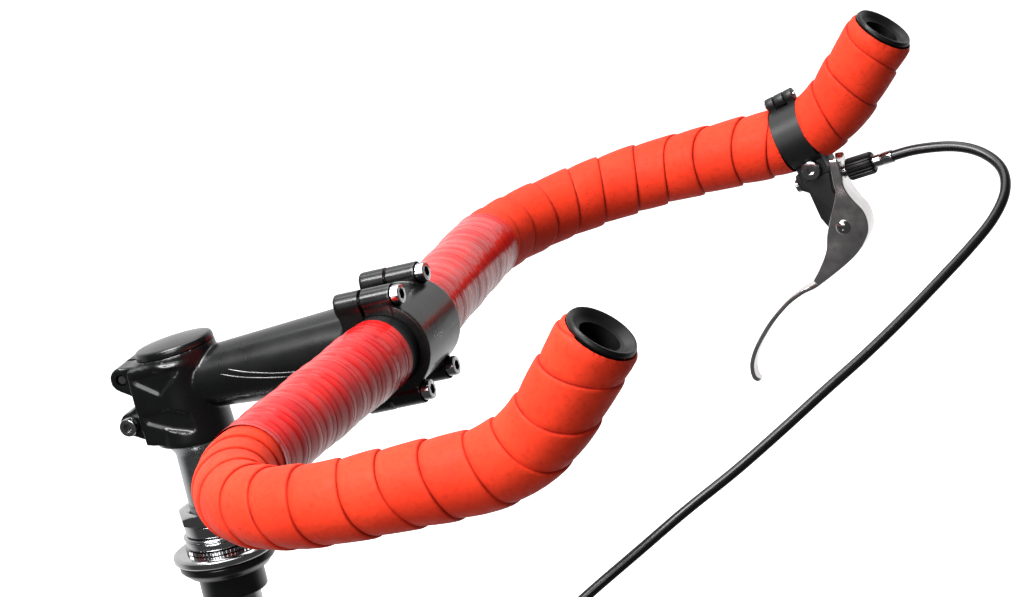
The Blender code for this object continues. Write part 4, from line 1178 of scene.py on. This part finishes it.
def brake_lever(paint, chrome):
    """The polished lever: two cheeks, the web between them that becomes the blade, and a boss."""
    rear = smooth_line([(y, z, 0) for y, z in LEVER_REAR])
    front = smooth_line([(y, z, 0) for y, z in LEVER_FRONT])
    outline = [(p.x, p.y) for p in rear + front[::-1]]
    web = smooth_line([(y + 0.0010, z, 0) for y, z in LEVER_FRONT[1:-2]] + [(y, z, 0) for y, z in BLADE], 6)
    widths = []
    for index in range(len(web)):
        share = index / (len(web) - 1)
        half = (LEVER_HALF - 0.0002) * (1 - 0.28 * share * share)
        tip = min((len(web) - 1 - index) / 6, 1)
        widths.append(half * math.sqrt(max(1 - (1 - tip) ** 2, 0.12)))
    inner, outer, boss_half = LEVER_HALF - CHEEK, LEVER_HALF, LEVER_HALF - 0.0002
    boss = ((LEVER_X - boss_half, -0.2532, 0.0835), (LEVER_X + boss_half, ADJUSTER_START[0], 0.0960))
    parts = [
        plate("near", outline, LEVER_X - outer, LEVER_X - inner),
        plate("far", outline, LEVER_X + inner, LEVER_X + outer),
        strip("web", web, BLADE_THICKNESS, widths),
        block("boss", *boss),
    ]
    made = fused("lever", paint, parts, 0.00040, 14)
    for vertex in made.data.vertices:
        vertex.co.x = LEVER_X + (vertex.co.x - LEVER_X) * (1 - lever_shrink(vertex.co.y, vertex.co.z))
    holes = [
        rod("pivot", (LEVER_X - 0.02, *PIVOT), (LEVER_X + 0.02, *PIVOT), PIVOT_BORE, 40),
        rod("screw_way", along_adjuster(-0.005), along_adjuster(0.012), 0.0033, 40),
    ]
    cut(made, holes)
    settle(made, "lever", "polished_alloy", "brake_lever")
    reach = LEVER_HALF + 0.0001
    profile = (
        (0, reach + 0.0015), (0.0016, reach + 0.0015), (0.0030, reach + 0.0011),
        (0.0036, reach + 0.0004), (0.0036, reach), (0.0023, reach), (0.0023, -reach),
        (0.0034, -reach), (0.0034, -reach - 0.0012), (0, -reach - 0.0012),
    )
    pin = turned("pivot_pin", chrome, profile, 48, (LEVER_X, *PIVOT), (-1, 0, 0), 40)
    mouth, floor = (LEVER_X - 0.012, *PIVOT), (LEVER_X - reach - 0.0006, *PIVOT)
    cut(pin, [rod("dimple", mouth, floor, 0.0016, 24, 0.0011)])
    settle(pin, "cockpit", "steel", "lever_pivot_pin")


def round_adjuster(name, paint, profile, steps=64):
    """A closed profile turned about the adjusting screw's axis."""
    return turned(name, paint, profile, steps, ADJUSTER_FOOT, ADJUSTER_AXIS)


def adjuster(plastic, chrome):
    """The ribbed knob on its bright hollow screw, and the ferrule that slides in it."""
    turn = Vector((0, 0, 1)).rotation_difference(ADJUSTER_AXIS).to_matrix()
    stations = ((0.0068, 0.80), (0.0071, 0.93), (0.0078, 1.0), (0.0140, 1.0))
    stations += ((0.0190, 1.0), (0.0198, 0.94), (0.0203, 0.80))
    loops = []
    for along, share in stations:
        loop = circle(share, 0, 160)
        for step, point in enumerate(loop):
            wave = math.cos(KNOB_RIBS * 2 * math.pi * step / len(loop))
            point *= KNOB_RADIUS + RIB_HEIGHT * max(min(wave * 1.8, 1), -1)
        loops.append([along_adjuster(along) + turn @ point for point in loop])
    knob = lofted("knob", plastic, loops)
    cut(knob, [rod("bore", along_adjuster(0), along_adjuster(0.03), 0.0027, 32)])
    settle(knob, "adjuster", "black_plastic", "barrel_adjuster")
    thread = [(0.0013, 0.0002)]
    for step in range(9):
        along = 0.0002 + 0.0007 * step
        thread += [(0.0026, along + 0.0001), (0.0030, along + 0.0004)]
    thread += [(0.0030, 0.0070), (0.0030, 0.0240), (0.0027, 0.0245)]
    thread += [(0.0025, 0.0245), (0.0025, 0.0130), (0.0013, 0.0130)]
    settle(round_adjuster("hollow_screw", chrome, thread), "adjuster", "steel")
    collar = (
        (0.0027, 0.0300), (0.0029, 0.0300), (0.0031, 0.0298), (0.0031, 0.0250),
        (0.0030, 0.0248), (0.0022, 0.0247), (0.0022, 0.0134), (0.0011, 0.0134),
        (0.0011, 0.0268), (0.0027, 0.0268),
    )
    settle(round_adjuster("ferrule", chrome, collar), "ferrule", "steel", "housing_ferrule")


def cable(skin, chrome, strand):
    """The brake housing on its route, the wire's two ends, and what is on them."""
    line = Line(smooth_line(HOUSING_ROUTE, 10))
    stations = np.linspace(HOUSING_SEAT, line.length, 260)
    housing = tube("housing", skin, line, stations, np.full(len(stations), HOUSING_RADIUS), 24)
    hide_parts("brake_housing")
    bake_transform(housing)
    end, heading = Vector(line.points[-1]), Vector(line.tangents[-1])
    cap = (
        (0.0011, 0.0026), (0.0022, 0.0026), (0.0028, 0.0023), (0.0032, 0.0016),
        (0.0032, -0.0085), (0.0030, -0.0090), (0.0026, -0.0090), (0.0026, 0.0004),
        (0.0011, 0.0004),
    )
    end_cap = settle(turned("end_cap", chrome, cap, 48, end, heading), "cockpit", "steel", "housing_end_cap")
    tip = end + heading * WIRE_TAIL
    wire = twisted("wire", strand, end + heading * 0.0006, tip)
    settle(wire, "cockpit", "steel", "brake_wire")
    crimp = ((0, 0.0110), (0.0008, 0.0110), (0.0011, 0.0106), (0.0011, 0.0070), (0.00085, 0.0062))
    crimp += ((0.00085, 0.0048), (0.0011, 0.0040), (0.0012, -0.0002), (0.0011, -0.0004), (0, -0.0004))
    tip_cap = settle(turned("crimp", chrome, crimp, 24, tip, heading), "cockpit", "steel")
    head = ((0, -0.0142), (0.0026, -0.0142), (0.0032, -0.0147))
    head += ((0.0032, -0.0195), (0.0027, -0.0200), (0, -0.0200))
    settle(round_adjuster("cable_end", chrome, head, 48), "cockpit", "steel", "cable_head")
    inner = twisted("wire_inside", strand, along_adjuster(-0.0145), along_adjuster(0.0264))
    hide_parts("inner_wire")
    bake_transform(inner)


def twisted(name, paint, start, end):
    """A wire of wound strands."""
    line = Line([start.lerp(end, step / 40) for step in range(41)])
    sides, count = 24, 160
    angle = np.linspace(0, 2 * np.pi, sides, endpoint=False)
    distance, turn = np.meshgrid(np.linspace(0, line.length, count), angle, indexing="ij")
    radius = WIRE_RADIUS * (0.93 + 0.07 * np.cos(6 * turn - distance * 2400))
    return lofted(name, paint, line.surface(distance, turn, radius), 60)


def build():
    black, satin, plastic = black_paint(), satin_black(), moulded_black()
    chrome = bright_metal("chrome", (0.50, 0.50, 0.51), 0.10, 0.18)
    polished = bright_metal("polished_alloy", (0.86, 0.83, 0.83), 0.16, 0.26, waves=0.6)
    spun = bright_metal("spun_alloy", (0.42, 0.43, 0.44), 0.20, 0.32, (1, 1, 8))
    strand = bright_metal("strand", (0.50, 0.50, 0.50), 0.25, 0.40)
    camera()
    studio()
    cable(housing_skin(), chrome, strand)
    bare_bar(satin)
    tapes(cork(), film())
    end_plugs(plastic)
    stem(black)
    stem_lid(black)
    faceplate(black)
    stem_screws(chrome)
    pinstripes(polished)
    headset(black, chrome, spun)
    lever_clamp(satin, chrome)
    brake_lever(polished, chrome)
    adjuster(plastic, chrome)
    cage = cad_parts["ball_cage"]
    for slot in cage.material_slots:
        slot.material = chrome


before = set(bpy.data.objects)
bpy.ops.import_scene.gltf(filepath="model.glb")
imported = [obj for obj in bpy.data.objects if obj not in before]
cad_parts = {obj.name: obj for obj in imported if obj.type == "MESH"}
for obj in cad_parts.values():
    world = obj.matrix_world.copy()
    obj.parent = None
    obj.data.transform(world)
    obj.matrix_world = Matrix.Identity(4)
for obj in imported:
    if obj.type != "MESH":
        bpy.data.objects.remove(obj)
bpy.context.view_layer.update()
build()
